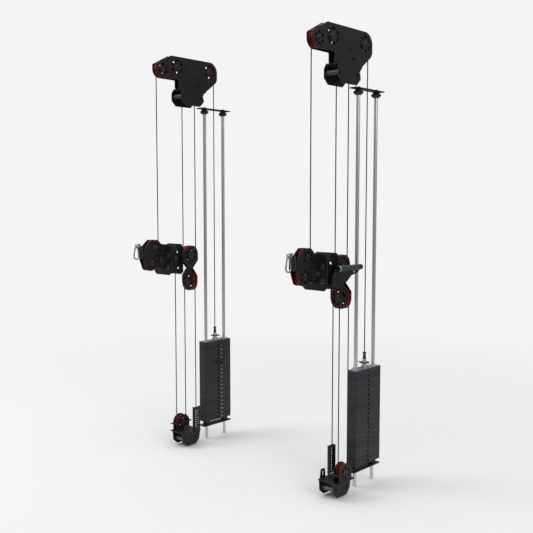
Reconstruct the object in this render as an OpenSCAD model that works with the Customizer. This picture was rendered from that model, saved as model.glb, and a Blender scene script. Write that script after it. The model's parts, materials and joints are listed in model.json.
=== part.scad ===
// Dual weight stack pulley system: two mirrored towers that bolt onto a strength rack.
// Each tower has a top pulley housing, a guided weight stack, a bottom pulley, a trolley that
// slides on the rack's upright and a floating pulley block between the two cables.
// Millimetres. X runs from the left tower to the right one, the user stands at -Y, Z is up.
// Inside one tower, x is measured outwards from the tower's middle plane.

/* [Towers] */
// Distance between the middle planes of the two towers
tower_spacing = 1168; // [900:1:1500]
// Thickness of the folded and welded steel plates
steel_t = 5; // [4:0.5:6]
// Distance from the front guide rod forwards to the floating block's middle
float_setback = 129; // [125:1:140]
// Distance from the front guide rod forwards to the trolley's swivel axis
swivel_setback = 368; // [360:1:380]

/* [Cable and pulleys] */
// Diameter of the coated steel cable
cable_d = 5.5; // [4.5:0.5:6]
// Pitch diameter of the large pulleys
large_pitch = 98; // [94:1:102]
// Rim height of the large pulleys above their pitch line
large_rim = 8; // [6:0.5:8]
// Pitch diameter of the small pulleys
small_pitch = 73; // [70:1:76]
// Rim height of the small pulleys above their pitch line
small_rim = 8.5; // [6:0.5:8.5]
// Width of every pulley's rim
pulley_w = 20; // [16:0.5:22]
// Diameter of the pulley axles
axle_d = 12; // [10:0.5:14]
// Radial running clearance of a pulley on its axle
axle_play = 0.05; // [0.02:0.01:0.1]
// Clear width between the two plates that hold a pulley
pulley_bay = 30; // [28:0.5:32]

/* [Top housing] */
// Height of the middle and rear pulleys' axles above the guide rods' upper ends
housing_rise = 223; // [215:1:240]
// How far the nose pulley sits below them
nose_drop = 25; // [15:1:30]
// Depth of the steel around the pulleys' pitch lines
housing_skirt = 12; // [10:0.5:13]
// Height of those axles above the underside of the top flange
flange_drop = 128; // [125:1:135]
// Thickness of the top and bottom flanges
flange_t = 8; // [6:0.5:10]

/* [Rack saddles] */
// Width of the rack's square tube
tube_w = 76; // [70:1:76]
// Gap between the rack's tube and the plates round it
tube_gap = 3.5; // [2:0.5:4]
// Outside diameter of the sleeves that pass through the rack's holes
sleeve_d = 25; // [20:0.5:25]
// Height of the underside of the bottom flange
bottom_flange_z = 85; // [84:1:92]

/* [Guide rods and stack] */
// Diameter of the two guide rods
rod_d = 19; // [16:0.5:22]
// Distance between the two guide rods
rod_spacing = 152.4; // [148:0.2:156]
// Length of the guide rods
rod_len = 2060; // [1900:5:2200]
// Depth of a weight plate, front to back
plate_depth = 220; // [210:1:230]
// Width of a weight plate
plate_w = 60; // [54:1:66]
// Height that each weight plate takes in the stack
plate_pitch = 25.4; // [24:0.1:26]
// Air gap between two weight plates
plate_gap = 0.4; // [0.3:0.1:1]
// Number of weight plates under the top plate
plate_count = 19; // [12:1:19]
// The weight plate that the selector pin is in, counted from the top
picked_plate = 5; // [1:1:8]
// Height of the underside of the lowest weight plate
stack_z = 115.3; // [112:0.1:125]
// Thickness of the base plate and of the rod top bar
bar_t = 8; // [6:0.5:9]
// Diameter of the selector stem
stem_d = 22; // [20:0.5:24]
// Diameter of the selector pin
pin_d = 9.5; // [8:0.5:10]

/* [Trolley] */
// Height of the trolley's top edge
trolley_top_z = 1247; // [1245:1:1260]
// Height of the trolley's body
trolley_h = 180; // [176:1:184]
// Half width of the trolley's front and rear plates
trolley_half = 78; // [74:1:82]
// Diameter of the grip handle
grip_d = 28; // [26:0.5:30]
// Length of the grip handle
grip_len = 200; // [180:1:210]
// How far the grip's middle line lies outside the tower's middle plane
grip_out = 74; // [73:0.5:80]
// Diameter of the swivel pin
swivel_pin_d = 12; // [10:0.5:12]
// Diameter of the trolley's locking pin
lock_pin_d = 12; // [10:0.5:14]

/* [Swivel arm and carabiner] */
// Height of the upper arm pulley's axle
arm_axle_z = 1230; // [1228:1:1236]
// Distance from the upper arm pulley's axle down to the lower one's
arm_axle_drop = 90; // [90:0.5:94]
// Wire diameter of the carabiner
hook_wire = 8; // [6:0.5:8]
// Height of the carabiner's middle lines
hook_h = 72; // [66:1:78]

/* [Floating block] */
// Height of the upper floating pulley's axle
float_axle_z = 1174; // [1165:1:1185]
// Distance from the upper floating pulley's axle down to the lower one's
float_axle_drop = 160; // [156:1:170]
// Clear width between the floating block's plates
float_bay = 24; // [23.5:0.5:26]

/* [Hidden] */
$fn = 48;

// Colours as photographed
powder_black = "#1d1e20";
pulley_red = "#a3140f";
plate_grey = "#2b2b2f";
rod_steel = "#8d908f";
bright_steel = "#b8babb";
cable_black = "#17181a";
pad_black = "#101112";

// Pulleys
large_r = large_pitch / 2;
small_r = small_pitch / 2;
large_out = large_r + large_rim;
small_out = small_r + small_rim;
cable_r = cable_d / 2;
groove_gap = 0.3;
bay_half = pulley_bay / 2;
plate_out = bay_half + steel_t;
bolt_head_t = 5;
guide_r = 20;
nose_chamfer = 26;
chamfer_back = 44;

// Rod and cable lines, front to back
rod_y = [0, rod_spacing];
stack_y = rod_spacing / 2;
float_y = -float_setback;
swivel_y = -swivel_setback;

// Pulley axles in the tower's middle plane, as [y, z]
housing_axle_z = rod_len + housing_rise;
top_flange_z = housing_axle_z - flange_drop;
bottom_flange_t = flange_t - 2;
pulley_dip = 2;
nose_c = [swivel_y + small_r, housing_axle_z - nose_drop];
middle_c = [float_y - 2 * large_r, housing_axle_z];
rear_c = [stack_y - large_r, housing_axle_z];
guide_c = [float_y + large_r + guide_r, housing_axle_z - 83];
spacer_c = [[float_y - 24, housing_axle_z], [float_y + 40, housing_axle_z - 45]];
screw_d = 8;
bottom_c = [float_y - small_r, bottom_flange_z + bottom_flange_t + small_out - pulley_dip];
arm_top_c = [swivel_y - small_r, arm_axle_z];
arm_low_c = [arm_top_c.x - 22, arm_axle_z - arm_axle_drop];
float_top_c = [float_y, float_axle_z];
float_low_z = float_axle_z - float_axle_drop;

// Saddles and trolley sleeve
tube_half = tube_w / 2;
saddle_in = tube_half + tube_gap;
saddle_out = saddle_in + steel_t;
upright_y = [swivel_y + 40, swivel_y + 40 + tube_w];
trolley_y = [upright_y[0] - tube_gap - steel_t, upright_y[1] + tube_gap];
trolley_low_z = trolley_top_z - trolley_h;
upright_mid = (upright_y[0] + upright_y[1]) / 2;
lock_z = trolley_low_z + 96;
grip_z = trolley_low_z + 103;
grip_end_y = trolley_y[1] - 5 + grip_len;
anchor_z = trolley_low_z + 14;
tail_y = bottom_c.x - small_r;

// Stack
stem_r = stem_d / 2;
top_plate_z = stack_z + plate_count * plate_pitch;
stack_top_z = top_plate_z + plate_pitch - plate_gap;
picked_z = top_plate_z - picked_plate * plate_pitch;
base_z = stack_z - 23;
pin_hole_d = pin_d + 1.5;
ring_z = stack_top_z + 26;
fitting_top_z = stack_top_z + 83;

// Bottom bracket
bracket_y = [bottom_c.x - 72, bottom_c.x + 72];
strip_top_z = bottom_flange_z + 156;
lug_t = 6;

// Everything is shifted back so that the whole object is centred front to back
hook_r_low = 17;
hook_r_top = 9;
hook_y = arm_top_c.x - 119.5;
hook_top_z = arm_axle_z + 9;
hook_low_c = [hook_y, hook_top_z - hook_h + hook_r_low];
hook_top_c = [hook_y, hook_top_z - hook_r_top];
hook_lean = asin((hook_r_low - hook_r_top) / (hook_top_c.y - hook_low_c.y));
eye_wire = 6;
eye_r = 9.5;
eye_reach = 132.3;
eye_z = hook_top_z - hook_wire / 2 - eye_wire / 2 - 0.3 + eye_r;
gate_d = hook_wire - 1;
gate_low = on_circle(hook_low_c, hook_r_low, 180 - hook_lean);
gate_top = on_circle(hook_top_c, hook_r_top, 180 - hook_lean);
gate_along = unit(gate_top - gate_low);
gate_hinge = gate_low + 9 * gate_along;
gate_end = gate_top - 6 * gate_along;
front_reach = hook_y - hook_r_low - hook_wire / 2;
bar_over = 45;
bar_rear = rod_spacing + bar_over;
y_shift = -(front_reach + bar_rear) / 2;

// Unit vector along v
function unit(v) = v / norm(v);

// Points of the corner b between a and c, rounded to radius r
function corner(a, b, c, r) =
    r == 0 ? [b] :
    let (
        u = unit(a - b),
        v = unit(c - b),
        half = acos(u * v) / 2,
        mid = b + unit(u + v) * r / sin(half),
        p = b + u * r / tan(half) - mid,
        q = b + v * r / tan(half) - mid,
        first = atan2(p.y, p.x),
        sweep = (atan2(q.y, q.x) - first + 540) % 360 - 180,
        steps = r > 30 ? 12 : r > 7 ? 5 : 3
    )
    [for (i = [0:steps]) mid + r * [cos(first + sweep * i / steps), sin(first + sweep * i / steps)]];

// Closed outline from corner points given as [x, y, radius]
function outline(points) =
    let (n = len(points))
    [for (i = [0:n - 1])
        let (a = points[(i + n - 1) % n], b = points[i], c = points[(i + 1) % n])
        each corner([a.x, a.y], [b.x, b.y], [c.x, c.y], b.z)];

// Direction of the straight cable between two pulleys that it passes over, in degrees
function belt_angle(a, ra, b, rb) =
    atan2(b.y - a.y, b.x - a.x) + asin((rb - ra) / norm(b - a));

// Point on a circle, as [y, z]
function on_circle(c, r, angle) = c + r * [cos(angle), sin(angle)];

// Puts a tower's piece on the right (side 1) or, mirrored, on the left (side -1)
module on_tower(side) {
    translate([0, y_shift, 0])
        mirror([side < 0 ? 1 : 0, 0, 0])
            translate([tower_spacing / 2, 0, 0])
                children();
}

// The same piece on both towers
module on_both() {
    on_tower(1) children();
    on_tower(-1) children();
}

// Plate with its outline in the Y-Z plane, from x = u over thickness t
module plate_x(u, t) {
    translate([u, 0, 0]) rotate([90, 0, 90]) linear_extrude(t) children();
}

// Plate with its outline in the X-Z plane, from y over thickness t
module plate_y(y, t) {
    translate([0, y + t, 0]) rotate([90, 0, 0]) linear_extrude(t) children();
}

// Round bar along X between two x values, at c = [y, z]
module bar_x(d, from, to, c) {
    translate([from, c.x, c.y]) rotate([0, 90, 0]) cylinder(d = d, h = to - from);
}

// Round bar along Y between two y values, at c = [x, z]
module bar_y(d, from, to, c) {
    translate([c.x, to, c.y]) rotate([90, 0, 0]) cylinder(d = d, h = to - from);
}

// Upright round bar at c = [x, y]
module bar_z(d, from, to, c) {
    translate([c.x, c.y, from]) cylinder(d = d, h = to - from);
}

// Straight round wire between p and q, given as [y, z], its ends let into the bends there
module straight(p, q, d) {
    tenon = 0.8;
    slack = 0.15;
    v = unit(q - p);
    translate([0, p.x - tenon * v.x, p.y - tenon * v.y]) rotate([-atan2(v.x, v.y), 0, 0])
        cylinder(d = d - slack, h = norm(q - p) + 2 * tenon);
}

// Cable bent round c = [y, z] at x = u, between two angles counted from +Y towards +Z
module cable_wrap(c, r, from, to, u = 0) {
    translate([u, c.x, c.y]) rotate([90, 0, 90]) rotate([0, 0, from])
        rotate_extrude(angle = to - from) translate([r, 0]) circle(d = cable_d, $fn = 24);
}

// Window with rounded corners at radius r, width w, its middle part sweeping the given angle
module window(r, w, sweep) {
    half = sweep / 2 + w / r * 90 / PI;
    function at(radius, angle, rounding) = [radius * cos(angle), radius * sin(angle), rounding];
    polygon(outline([
        at(r - w / 2, -half, 0.4 * w), at(r + w / 2, -half, 0.4 * w), at(r + w / 2, 0, 0),
        at(r + w / 2, half, 0.4 * w), at(r - w / 2, half, 0.4 * w)
    ]));
}

// Ring of six windows about c
module six_windows(c, r, w, sweep, turn = 30) {
    for (i = [0:5]) translate(c) rotate(turn + 60 * i) window(r, w, sweep);
}

// Windows in a plate in front of a large or a small pulley
module large_windows(c) {
    six_windows(c, large_r - 12, 13, 26);
}
module small_windows(c) {
    six_windows(c, small_r - 9, 10, 18);
}

// Grooved pulley on the X axis: bearing hub, thin web with six windows and a rim
module sheave(pitch_r, out_r, rim_in, hub_r, hub_half, window_w) {
    bore_r = axle_d / 2 + axle_play;
    groove_r = cable_r + groove_gap;
    half = pulley_w / 2;
    flare = 6;
    web = 4;
    spoke_w = 9;
    window_r = (hub_r + rim_in) / 2;
    window_sweep = 60 - (window_w + spoke_w) / window_r * 180 / PI;
    rotate([90, 0, 90]) difference() {
        rotate_extrude() polygon(concat(
            [[bore_r, -hub_half], [hub_r, -hub_half], [hub_r, -web], [rim_in - 3, -web],
             [rim_in, -half], [out_r - 1.5, -half], [out_r, -half + 1.5], [out_r, -flare]],
            [for (a = [-90:22.5:90]) [pitch_r - groove_r * cos(a), groove_r * sin(a)]],
            [[out_r, flare], [out_r, half - 1.5], [out_r - 1.5, half], [rim_in, half],
             [rim_in - 3, web], [hub_r, web], [hub_r, hub_half], [bore_r, hub_half]]
        ));
        translate([0, 0, -2 * web]) linear_extrude(4 * web)
            six_windows([0, 0], window_r, window_w, window_sweep, 50);
    }
}
module large_sheave(hub_half) {
    sheave(large_r, large_out, large_r - 7, axle_d / 2 + 10, hub_half, 14);
}
module small_sheave(hub_half) {
    sheave(small_r, small_out, small_r - 6.5, axle_d / 2 + 7, hub_half, 9);
}

// Axle bolt through two plates, with a head on each side
module axle_bolt(c, out) {
    bar_x(axle_d, -out, out, c);
    for (s = [-1, 1]) translate([s * (out + bolt_head_t / 2), c.x, c.y]) rotate([0, 90, 0]) {
        cylinder(d = 19, h = bolt_head_t, center = true, $fn = 6);
    }
}

// Outline of the top housing's plates
module housing_outline() {
    low = nose_c.y - small_r - housing_skirt;
    top = housing_axle_z + large_r + housing_skirt - 1;
    rear = rear_c.x + large_r + housing_skirt;
    stem = float_y - large_r - 38;
    r = large_r + housing_skirt;
    polygon(outline([
        [stem, top_flange_z + flange_t, 0],
        [stem, low, 6],
        [nose_c.x - small_r - housing_skirt, low, small_r + housing_skirt - 1],
        [nose_c.x - small_r - housing_skirt, nose_c.y + nose_chamfer, 8],
        [middle_c.x - chamfer_back, top, 22],
        [rear, top, r - 1],
        [rear, housing_axle_z - 52, 45],
        [-1, top_flange_z + flange_t, 0]
    ]));
}

// The two housing plates of each tower, with the bent tab that joins them at the nose
module housing_plates() {
    color(powder_black) on_both() {
        for (u = [-plate_out, bay_half]) plate_x(u, steel_t) difference() {
            housing_outline();
            small_windows(nose_c);
            large_windows(middle_c);
            large_windows(rear_c);
            for (c = [nose_c, middle_c, rear_c, guide_c]) translate(c) circle(d = axle_d);
            for (c = spacer_c) translate(c) circle(d = screw_d);
            translate([float_y + 6, housing_axle_z - 21]) circle(d = screw_d);
        }
        nose_tab();
    }
}

// Bent tab that joins the plates along the sloping edge between the nose and middle pulleys
module nose_tab() {
    p = [nose_c.x - small_r - housing_skirt, nose_c.y + nose_chamfer];
    q = [middle_c.x - chamfer_back, housing_axle_z + large_r + housing_skirt - 1];
    along = unit(q - p);
    start = q - 42 * along;
    translate([-bay_half, start.x, start.y]) rotate([atan2(along.y, along.x), 0, 0])
        translate([0, 0, -5]) cube([pulley_bay, 30, 4]);
}

// Axle bolts of the fixed top pulleys, spacer tubes and the cable's guide bobbin
module housing_hardware() {
    color(bright_steel) on_both() {
        for (c = [nose_c, middle_c, rear_c, guide_c]) axle_bolt(c, plate_out);
        for (c = spacer_c) {
            bar_x(14, -bay_half, bay_half, c);
            bar_x(screw_d, -plate_out, plate_out, c);
            for (u = [-plate_out - 4, plate_out]) bar_x(13, u, u + 4, c);
        }
        guide_bobbin();
    }
}

// Grooved bobbin that turns the cable from the floating block towards the rear pulley
module guide_bobbin() {
    groove_r = cable_r + groove_gap;
    translate([0, guide_c.x, guide_c.y]) rotate([90, 0, 90]) rotate_extrude() polygon(concat(
        [[axle_d / 2, -bay_half], [guide_r + 6, -bay_half], [guide_r + 6, -8]],
        [for (a = [-90:30:90]) [guide_r - groove_r * cos(a), groove_r * sin(a)]],
        [[guide_r + 6, 8], [guide_r + 6, bay_half], [axle_d / 2, bay_half]]
    ));
}

// Sleeves with their through bolts, which fill the holes of the rack's tube inside a saddle
module saddle_sleeves(rows, z) {
    for (y = rows) {
        bar_x(sleeve_d, -saddle_in, saddle_in, [y, z]);
        for (s = [-1, 1]) translate([s * (saddle_out + bolt_head_t / 2), y, z]) rotate([0, 90, 0])
            cylinder(d = 22, h = bolt_head_t, center = true, $fn = 6);
    }
}

// Saddles that straddle the rack's top crossmember, hung from the housings' flanges
module top_saddles() {
    y0 = float_y - large_r - 41;
    y1 = float_y + 85;
    z0 = top_flange_z - tube_w - 15;
    z1 = top_flange_z;
    color(powder_black) on_both() {
        difference() {
            translate([0, 0, top_flange_z]) linear_extrude(flange_t) polygon([
                [-saddle_out, y0 + 14], [saddle_out, y0 + 14], [saddle_out, y1 + 14],
                [plate_out, y1 + 42], [-plate_out, y1 + 42], [-saddle_out, y1 + 14]
            ]);
            for (y = [float_y - large_r, float_y + large_r])
                bar_z(18, top_flange_z - 1, top_flange_z + flange_t + 1, [0, y]);
        }
        for (u = [-saddle_out, saddle_in]) plate_x(u, steel_t) polygon(outline([
            [y0 + 10, z1, 0], [y0, z1 - 18, 4], [y0, z0 + 30, 4], [y0 + 30, z0, 4],
            [y1 - 30, z0, 4], [y1, z0 + 30, 4], [y1, z0 + 44, 4], [y1 - 10, z0 + 58, 4],
            [y1 - 10, z1 - 30, 4], [y1 + 8, z1 - 6, 4], [y1 + 8, z1, 0]
        ]));
        saddle_sleeves([float_y - 70, float_y + 67], z1 - tube_half);
    }
}

// Bottom brackets: saddle, flange, pulley bracket, slotted lug and perforated cable anchor
module bottom_brackets() {
    y0 = bracket_y[0];
    y1 = bracket_y[1];
    slot_w = pulley_w + 4;
    slot_len = 48;
    color(powder_black) on_both() {
        difference() {
            translate([-saddle_out - lug_t, y0, bottom_flange_z])
                cube([saddle_out + lug_t + large_r + plate_out, y1 - y0, bottom_flange_t]);
            bar_z(20, bottom_flange_z - 1, bottom_flange_z + flange_t, [0, bottom_c.x]);
            translate([large_r - slot_w / 2, bottom_c.x - slot_len / 2, bottom_flange_z + 2])
                cube([slot_w, slot_len, flange_t]);
        }
        for (u = [-saddle_out, saddle_in]) plate_x(u, steel_t) polygon(outline([
            [y0, bottom_flange_z, 0], [y0 + 4, 34, 4], [y0 + 34, 8, 4],
            [y1 - 34, 8, 4], [y1 - 8, 34, 4], [y1, bottom_flange_z, 0]
        ]));
        saddle_sleeves([bottom_c.x - 42, bottom_c.x + 42], bottom_flange_z - tube_half);
        bottom_pulley_bracket();
        slotted_lug();
        anchor_strip();
    }
}

// Two round-topped plates that hold the bottom pulley, with outward wings
module bottom_pulley_bracket() {
    z0 = bottom_flange_z + bottom_flange_t;
    r = small_out + 4;
    for (u = [large_r - plate_out, large_r + bay_half]) plate_x(u, steel_t) difference() {
        polygon(outline([
            [bottom_c.x - r, z0, 0], [bottom_c.x + r, z0, 0],
            [bottom_c.x + r, bottom_c.y + r, r - 1], [bottom_c.x - r, bottom_c.y + r, r - 1]
        ]));
        small_windows(bottom_c);
        translate(bottom_c) circle(d = axle_d);
    }
    translate([large_r, 0, 0]) axle_bolt(bottom_c, plate_out);
    for (s = [-1, 1]) difference() {
        translate([large_r - plate_out, bottom_c.x + s * (r + 10) - 11, bottom_c.y - 4])
            cube([2 * plate_out, 22, 4]);
        bar_z(14, bottom_c.y - 5, bottom_c.y + 1, [large_r, bottom_c.x + s * (r + 11)]);
    }
}

// Upright lug with a slot, on the inner side of the bottom bracket
module slotted_lug() {
    z0 = bottom_flange_z + bottom_flange_t;
    y0 = bracket_y[0] + 14;
    plate_x(-saddle_out - lug_t, lug_t) difference() {
        polygon(outline([[y0, z0, 0], [y0 + 40, z0, 0], [y0 + 36, z0 + 46, 8], [y0 + 6, z0 + 46, 8]]));
        translate([y0 + 21, z0 + 14]) circle(d = 10);
        translate([y0 + 21, z0 + 32]) circle(d = 10);
        translate([y0 + 16, z0 + 14]) square([10, 18]);
    }
}

// Perforated channel that the lower cable is anchored to
module anchor_strip() {
    y0 = float_y - 24;
    z0 = bottom_flange_z + bottom_flange_t;
    rows = floor((strip_top_z - z0 - 20) / 14);
    difference() {
        union() {
            translate([-large_r - 11, y0, z0]) cube([3, 48, strip_top_z - z0]);
            for (y = [y0, y0 + 45])
                translate([-large_r - 11, y, z0]) cube([16, 3, strip_top_z - z0]);
        }
        for (i = [0:rows - 1], y = [float_y - 9, float_y + 9])
            bar_x(7, -large_r - 12, -large_r - 7, [y, z0 + 14 + 14 * i]);
    }
    translate([-large_r - 8, y0 + 3, strip_top_z - 12]) cube([14, 42, 6]);
}

// Guide rods of both towers
module guide_rods() {
    color(rod_steel) on_both() for (y = rod_y) {
        bar_z(rod_d, 0, rod_len, [0, y]);
    }
}

// Top bars and their clamping collars, base plates and rubber bumpers
module rod_bars() {
    color(powder_black) on_both() {
        difference() {
            translate([-22, -bar_over, rod_len]) cube([44, bar_rear + bar_over, bar_t - 2]);
            bar_z(16, rod_len - 1, rod_len + bar_t, [0, stack_y]);
        }
        for (y = rod_y) {
            bar_z(14, rod_len + bar_t - 2, rod_len + bar_t + 4, [0, y]);
            collar(y);
            bumper(y);
        }
        difference() {
            translate([-26, stack_y - plate_depth / 2 - 5, base_z - bar_t])
                cube([52, plate_depth + 6, bar_t]);
            for (y = rod_y) bar_z(rod_d + 0.1, base_z - bar_t - 1, base_z + 1, [0, y]);
        }
    }
}

// Clamping collar under the top bar
module collar(y) {
    r = rod_d / 2 + 0.05;
    translate([0, y, rod_len]) difference() {
        rotate_extrude() polygon([
            [r, -30], [14, -30], [25, -21], [26, -14], [16, -5], [16, 0], [r, 0]
        ]);
        for (i = [0:5]) rotate(60 * i) translate([29, 0, -24]) cylinder(d = 12, h = 14);
    }
}

// Rubber bumper that the stack rests on
module bumper(y) {
    r = rod_d / 2 + 0.05;
    h = stack_z - base_z;
    translate([0, y, base_z]) rotate_extrude()
        polygon([[r, 0], [19, 0], [21, 4], [21, h - 4], [19, h], [r, h]]);
}

// One weight plate, with its underside at z, its guide holes, stem hole and pin hole
module weight_plate(z, rod_hole, stem_hole) {
    h = plate_pitch - plate_gap;
    d = plate_depth;
    difference() {
        translate([0, stack_y, z]) linear_extrude(h) polygon(outline([
            [-plate_w / 2, -d / 2, 8], [plate_w / 2, -d / 2, 8],
            [plate_w / 2, d / 2, 8], [-plate_w / 2, d / 2, 8]
        ]));
        for (y = rod_y) bar_z(rod_hole, z - 1, z + h + 1, [0, y]);
        bar_z(stem_hole, z - 1, z + h + 1, [0, stack_y]);
        bar_x(pin_hole_d, -plate_w / 2 - 1, plate_w / 2 + 1, [stack_y, z + plate_pitch / 2]);
    }
}

// Weight plates that stay down, both towers
module resting_plates() {
    color(plate_grey) on_both() for (i = [0:plate_count - picked_plate - 1])
        weight_plate(stack_z + i * plate_pitch, rod_d + 6, stem_d + 3);
}

// Top plate and the weight plates above the selector pin
module lifted_plates() {
    color(plate_grey) {
        for (i = [plate_count - picked_plate:plate_count - 1])
            weight_plate(stack_z + i * plate_pitch, rod_d + 6, stem_d + 0.1);
        weight_plate(top_plate_z, rod_d + 10, stem_d + 0.1);
        bar_x(13, -plate_w / 2 - 4, -plate_w / 2, [stack_y + 22, top_plate_z + plate_pitch / 2]);
    }
    color("#e8e8e6") for (y = rod_y) difference() {
        bar_z(rod_d + 10, top_plate_z, stack_top_z + 2, [0, y]);
        bar_z(rod_d + 0.2, top_plate_z - 1, stack_top_z + 3, [0, y]);
    }
}

// Selector stem, with the cable's end fitting, lanyard ring and rubber sleeve on top
module stack_stem() {
    color(bright_steel) {
        difference() {
            bar_z(stem_d, stack_z + 1, stack_top_z, [0, stack_y]);
            for (i = [0:plate_count - 1])
                bar_x(pin_d + 0.2, -stem_r - 1, stem_r + 1, [stack_y, stack_z + (i + 0.5) * plate_pitch]);
        }
        translate([0, stack_y, stack_top_z]) cylinder(d = 34, h = 15, $fn = 6);
        bar_z(20, stack_top_z + 15, ring_z, [0, stack_y]);
    }
    color(cable_black) translate([0, stack_y, 0]) rotate_extrude() polygon([
        [0, ring_z], [26, ring_z], [28, ring_z + 2], [26, ring_z + 4], [12, ring_z + 6],
        [9, ring_z + 22], [7, fitting_top_z - 8], [10, fitting_top_z - 4], [10, fitting_top_z],
        [0, fitting_top_z]
    ]);
}

// Selector pin with its collar and knob, in the picked plate
module selector_pin() {
    side = -plate_w / 2;
    color(bright_steel) {
        bar_x(pin_d, side - 12, stem_r + 5, [stack_y, picked_z + plate_pitch / 2]);
        bar_x(18, side - 5, side - 0.4, [stack_y, picked_z + plate_pitch / 2]);
    }
    color(pad_black) translate([side - 12, stack_y, picked_z + plate_pitch / 2]) rotate([0, -90, 0])
        rotate_extrude() polygon([[0, 0], [9, 0], [11, 3], [10, 24], [13, 40], [12, 46], [8, 50], [0, 50]]);
}

// Route of the selector pin's lanyard: from the ring, over the stack's inner edge, down to the pin
lanyard_d = 3;
lanyard_points = [
    [-20, 67, 653.3], [-21, 66, 657], [-25, 63, 660], [-30, 60, 658], [-34, 58, 650], [-36, 57, 635],
    [-37, 58, 610], [-38, 60, 580], [-38, 63, 550], [-38, 67, 525], [-36, 73, 507], [-33, 76.2, 498],
    [-33, 76.2, 493]
];

// Point at t of a smooth curve through b and c, with a and d as its neighbours
function smooth(a, b, c, d, t) =
    0.5 * (2 * b + (c - a) * t + (2 * a - 5 * b + 4 * c - d) * t * t + (3 * b - a - 3 * c + d) * t * t * t);

// Route with extra points between each pair of the chosen ones
function route(p, steps) =
    let (n = len(p))
    [for (i = [0:n - 2], k = [0:steps - 1])
        smooth(p[max(i - 1, 0)], p[i], p[i + 1], p[min(i + 2, n - 1)], k / steps),
     p[n - 1]];

// Tube of diameter d with eight sides, swept along a route that runs mostly downwards
module swept_tube(p, d) {
    n = len(p);
    sides = 8;
    function along(i) = unit(p[min(i + 1, n - 1)] - p[max(i - 1, 0)]);
    function side_of(t) = unit(cross(t, [0, 1, 0]));
    rings = [for (i = [0:n - 1]) let (t = along(i), s = side_of(t), b = cross(s, t))
        each [for (k = [0:sides - 1]) p[i] + d / 2 * (cos(k * 45) * s + sin(k * 45) * b)]];
    polyhedron(rings, concat(
        [[for (k = [sides - 1:-1:0]) k], [for (k = [0:sides - 1]) (n - 1) * sides + k]],
        [for (i = [0:n - 2], k = [0:sides - 1])
            each [[i * sides + k, i * sides + (k + 1) % sides, (i + 1) * sides + (k + 1) % sides],
                  [i * sides + k, (i + 1) * sides + (k + 1) % sides, (i + 1) * sides + k]]]
    ));
}

// Lanyard between the stack's ring and the selector pin
module pin_lanyard() {
    color(cable_black) swept_tube(route(lanyard_points, 2), lanyard_d);
}

// Outline of the trolley's front and rear plates, in x and z
module trolley_face() {
    w = trolley_half;
    polygon(outline([
        [-w + 18, trolley_low_z, 5], [w - 18, trolley_low_z, 5], [w, trolley_low_z + 16, 5],
        [w, trolley_top_z - 16, 5], [w - 16, trolley_top_z, 5], [16 - w, trolley_top_z, 5],
        [-w, trolley_top_z - 16, 5], [-w, trolley_low_z + 16, 5]
    ]));
}

// Outline of the trolley's side plates, in y and z
module trolley_side_outline() {
    y0 = trolley_y[0];
    polygon(outline([
        [y0, trolley_low_z, 0], [y0 + 50, trolley_low_z + 12, 6], [y0 + 120, trolley_low_z + 82, 6],
        [y0 + 112, trolley_low_z + 96, 6], [y0 + 60, trolley_top_z - 50, 8], [y0 + 28, trolley_top_z, 12],
        [y0, trolley_top_z, 0]
    ]));
}

// Trolley weldment: four plates round the rack's upright, swivel lugs, handle and cable anchor
module trolley_frame() {
    y0 = trolley_y[0];
    y1 = trolley_y[1];
    color(powder_black) {
        plate_y(y0, steel_t) difference() {
            trolley_face();
            translate([-30, trolley_low_z + 42]) square([12, 22]);
            translate([18, trolley_low_z + 42]) square([12, 22]);
        }
        plate_y(y1, steel_t) difference() {
            trolley_face();
            for (s = [-1, 1]) {
                translate([s * 22 - 7, trolley_top_z - 38]) square([14, 26]);
                translate([s * 26 - 7, trolley_top_z - 64]) square([14, 18]);
                translate([s * 24 - 16, trolley_low_z + 30]) square([32, 60]);
            }
        }
        for (s = [-1, 1]) plate_x(s > 0 ? saddle_in : -saddle_out, steel_t) difference() {
            trolley_side_outline();
            if (s < 0) translate([upright_mid, lock_z]) circle(d = lock_pin_d + 0.1);
            for (z = [trolley_top_z - 34, trolley_top_z - 64, trolley_low_z + 46])
                translate([y0 + 16, z]) circle(d = 10);
        }
        lock_housing();
        for (z = [trolley_low_z + 43, trolley_low_z + 111]) swivel_lug(z);
        bar_z(swivel_pin_d, trolley_low_z + 38, trolley_low_z + 126, [0, swivel_y]);
        handle();
        tail_anchor();
    }
}

// Lug that carries one end of the swivel pin
module swivel_lug(z) {
    translate([0, 0, z]) linear_extrude(10) union() {
        translate([0, swivel_y]) circle(r = swivel_pin_d / 2 + 8);
        translate([-swivel_pin_d / 2 - 8, swivel_y]) square([swivel_pin_d + 16, trolley_y[0] - swivel_y]);
    }
}

// Boss that guides the locking pin, on the inner side plate
module lock_housing() {
    difference() {
        bar_x(26, -saddle_out - 10, -saddle_out, [upright_mid, lock_z]);
        bar_x(lock_pin_d + 0.1, -saddle_out - 11, -saddle_out + 1, [upright_mid, lock_z]);
    }
}

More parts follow.
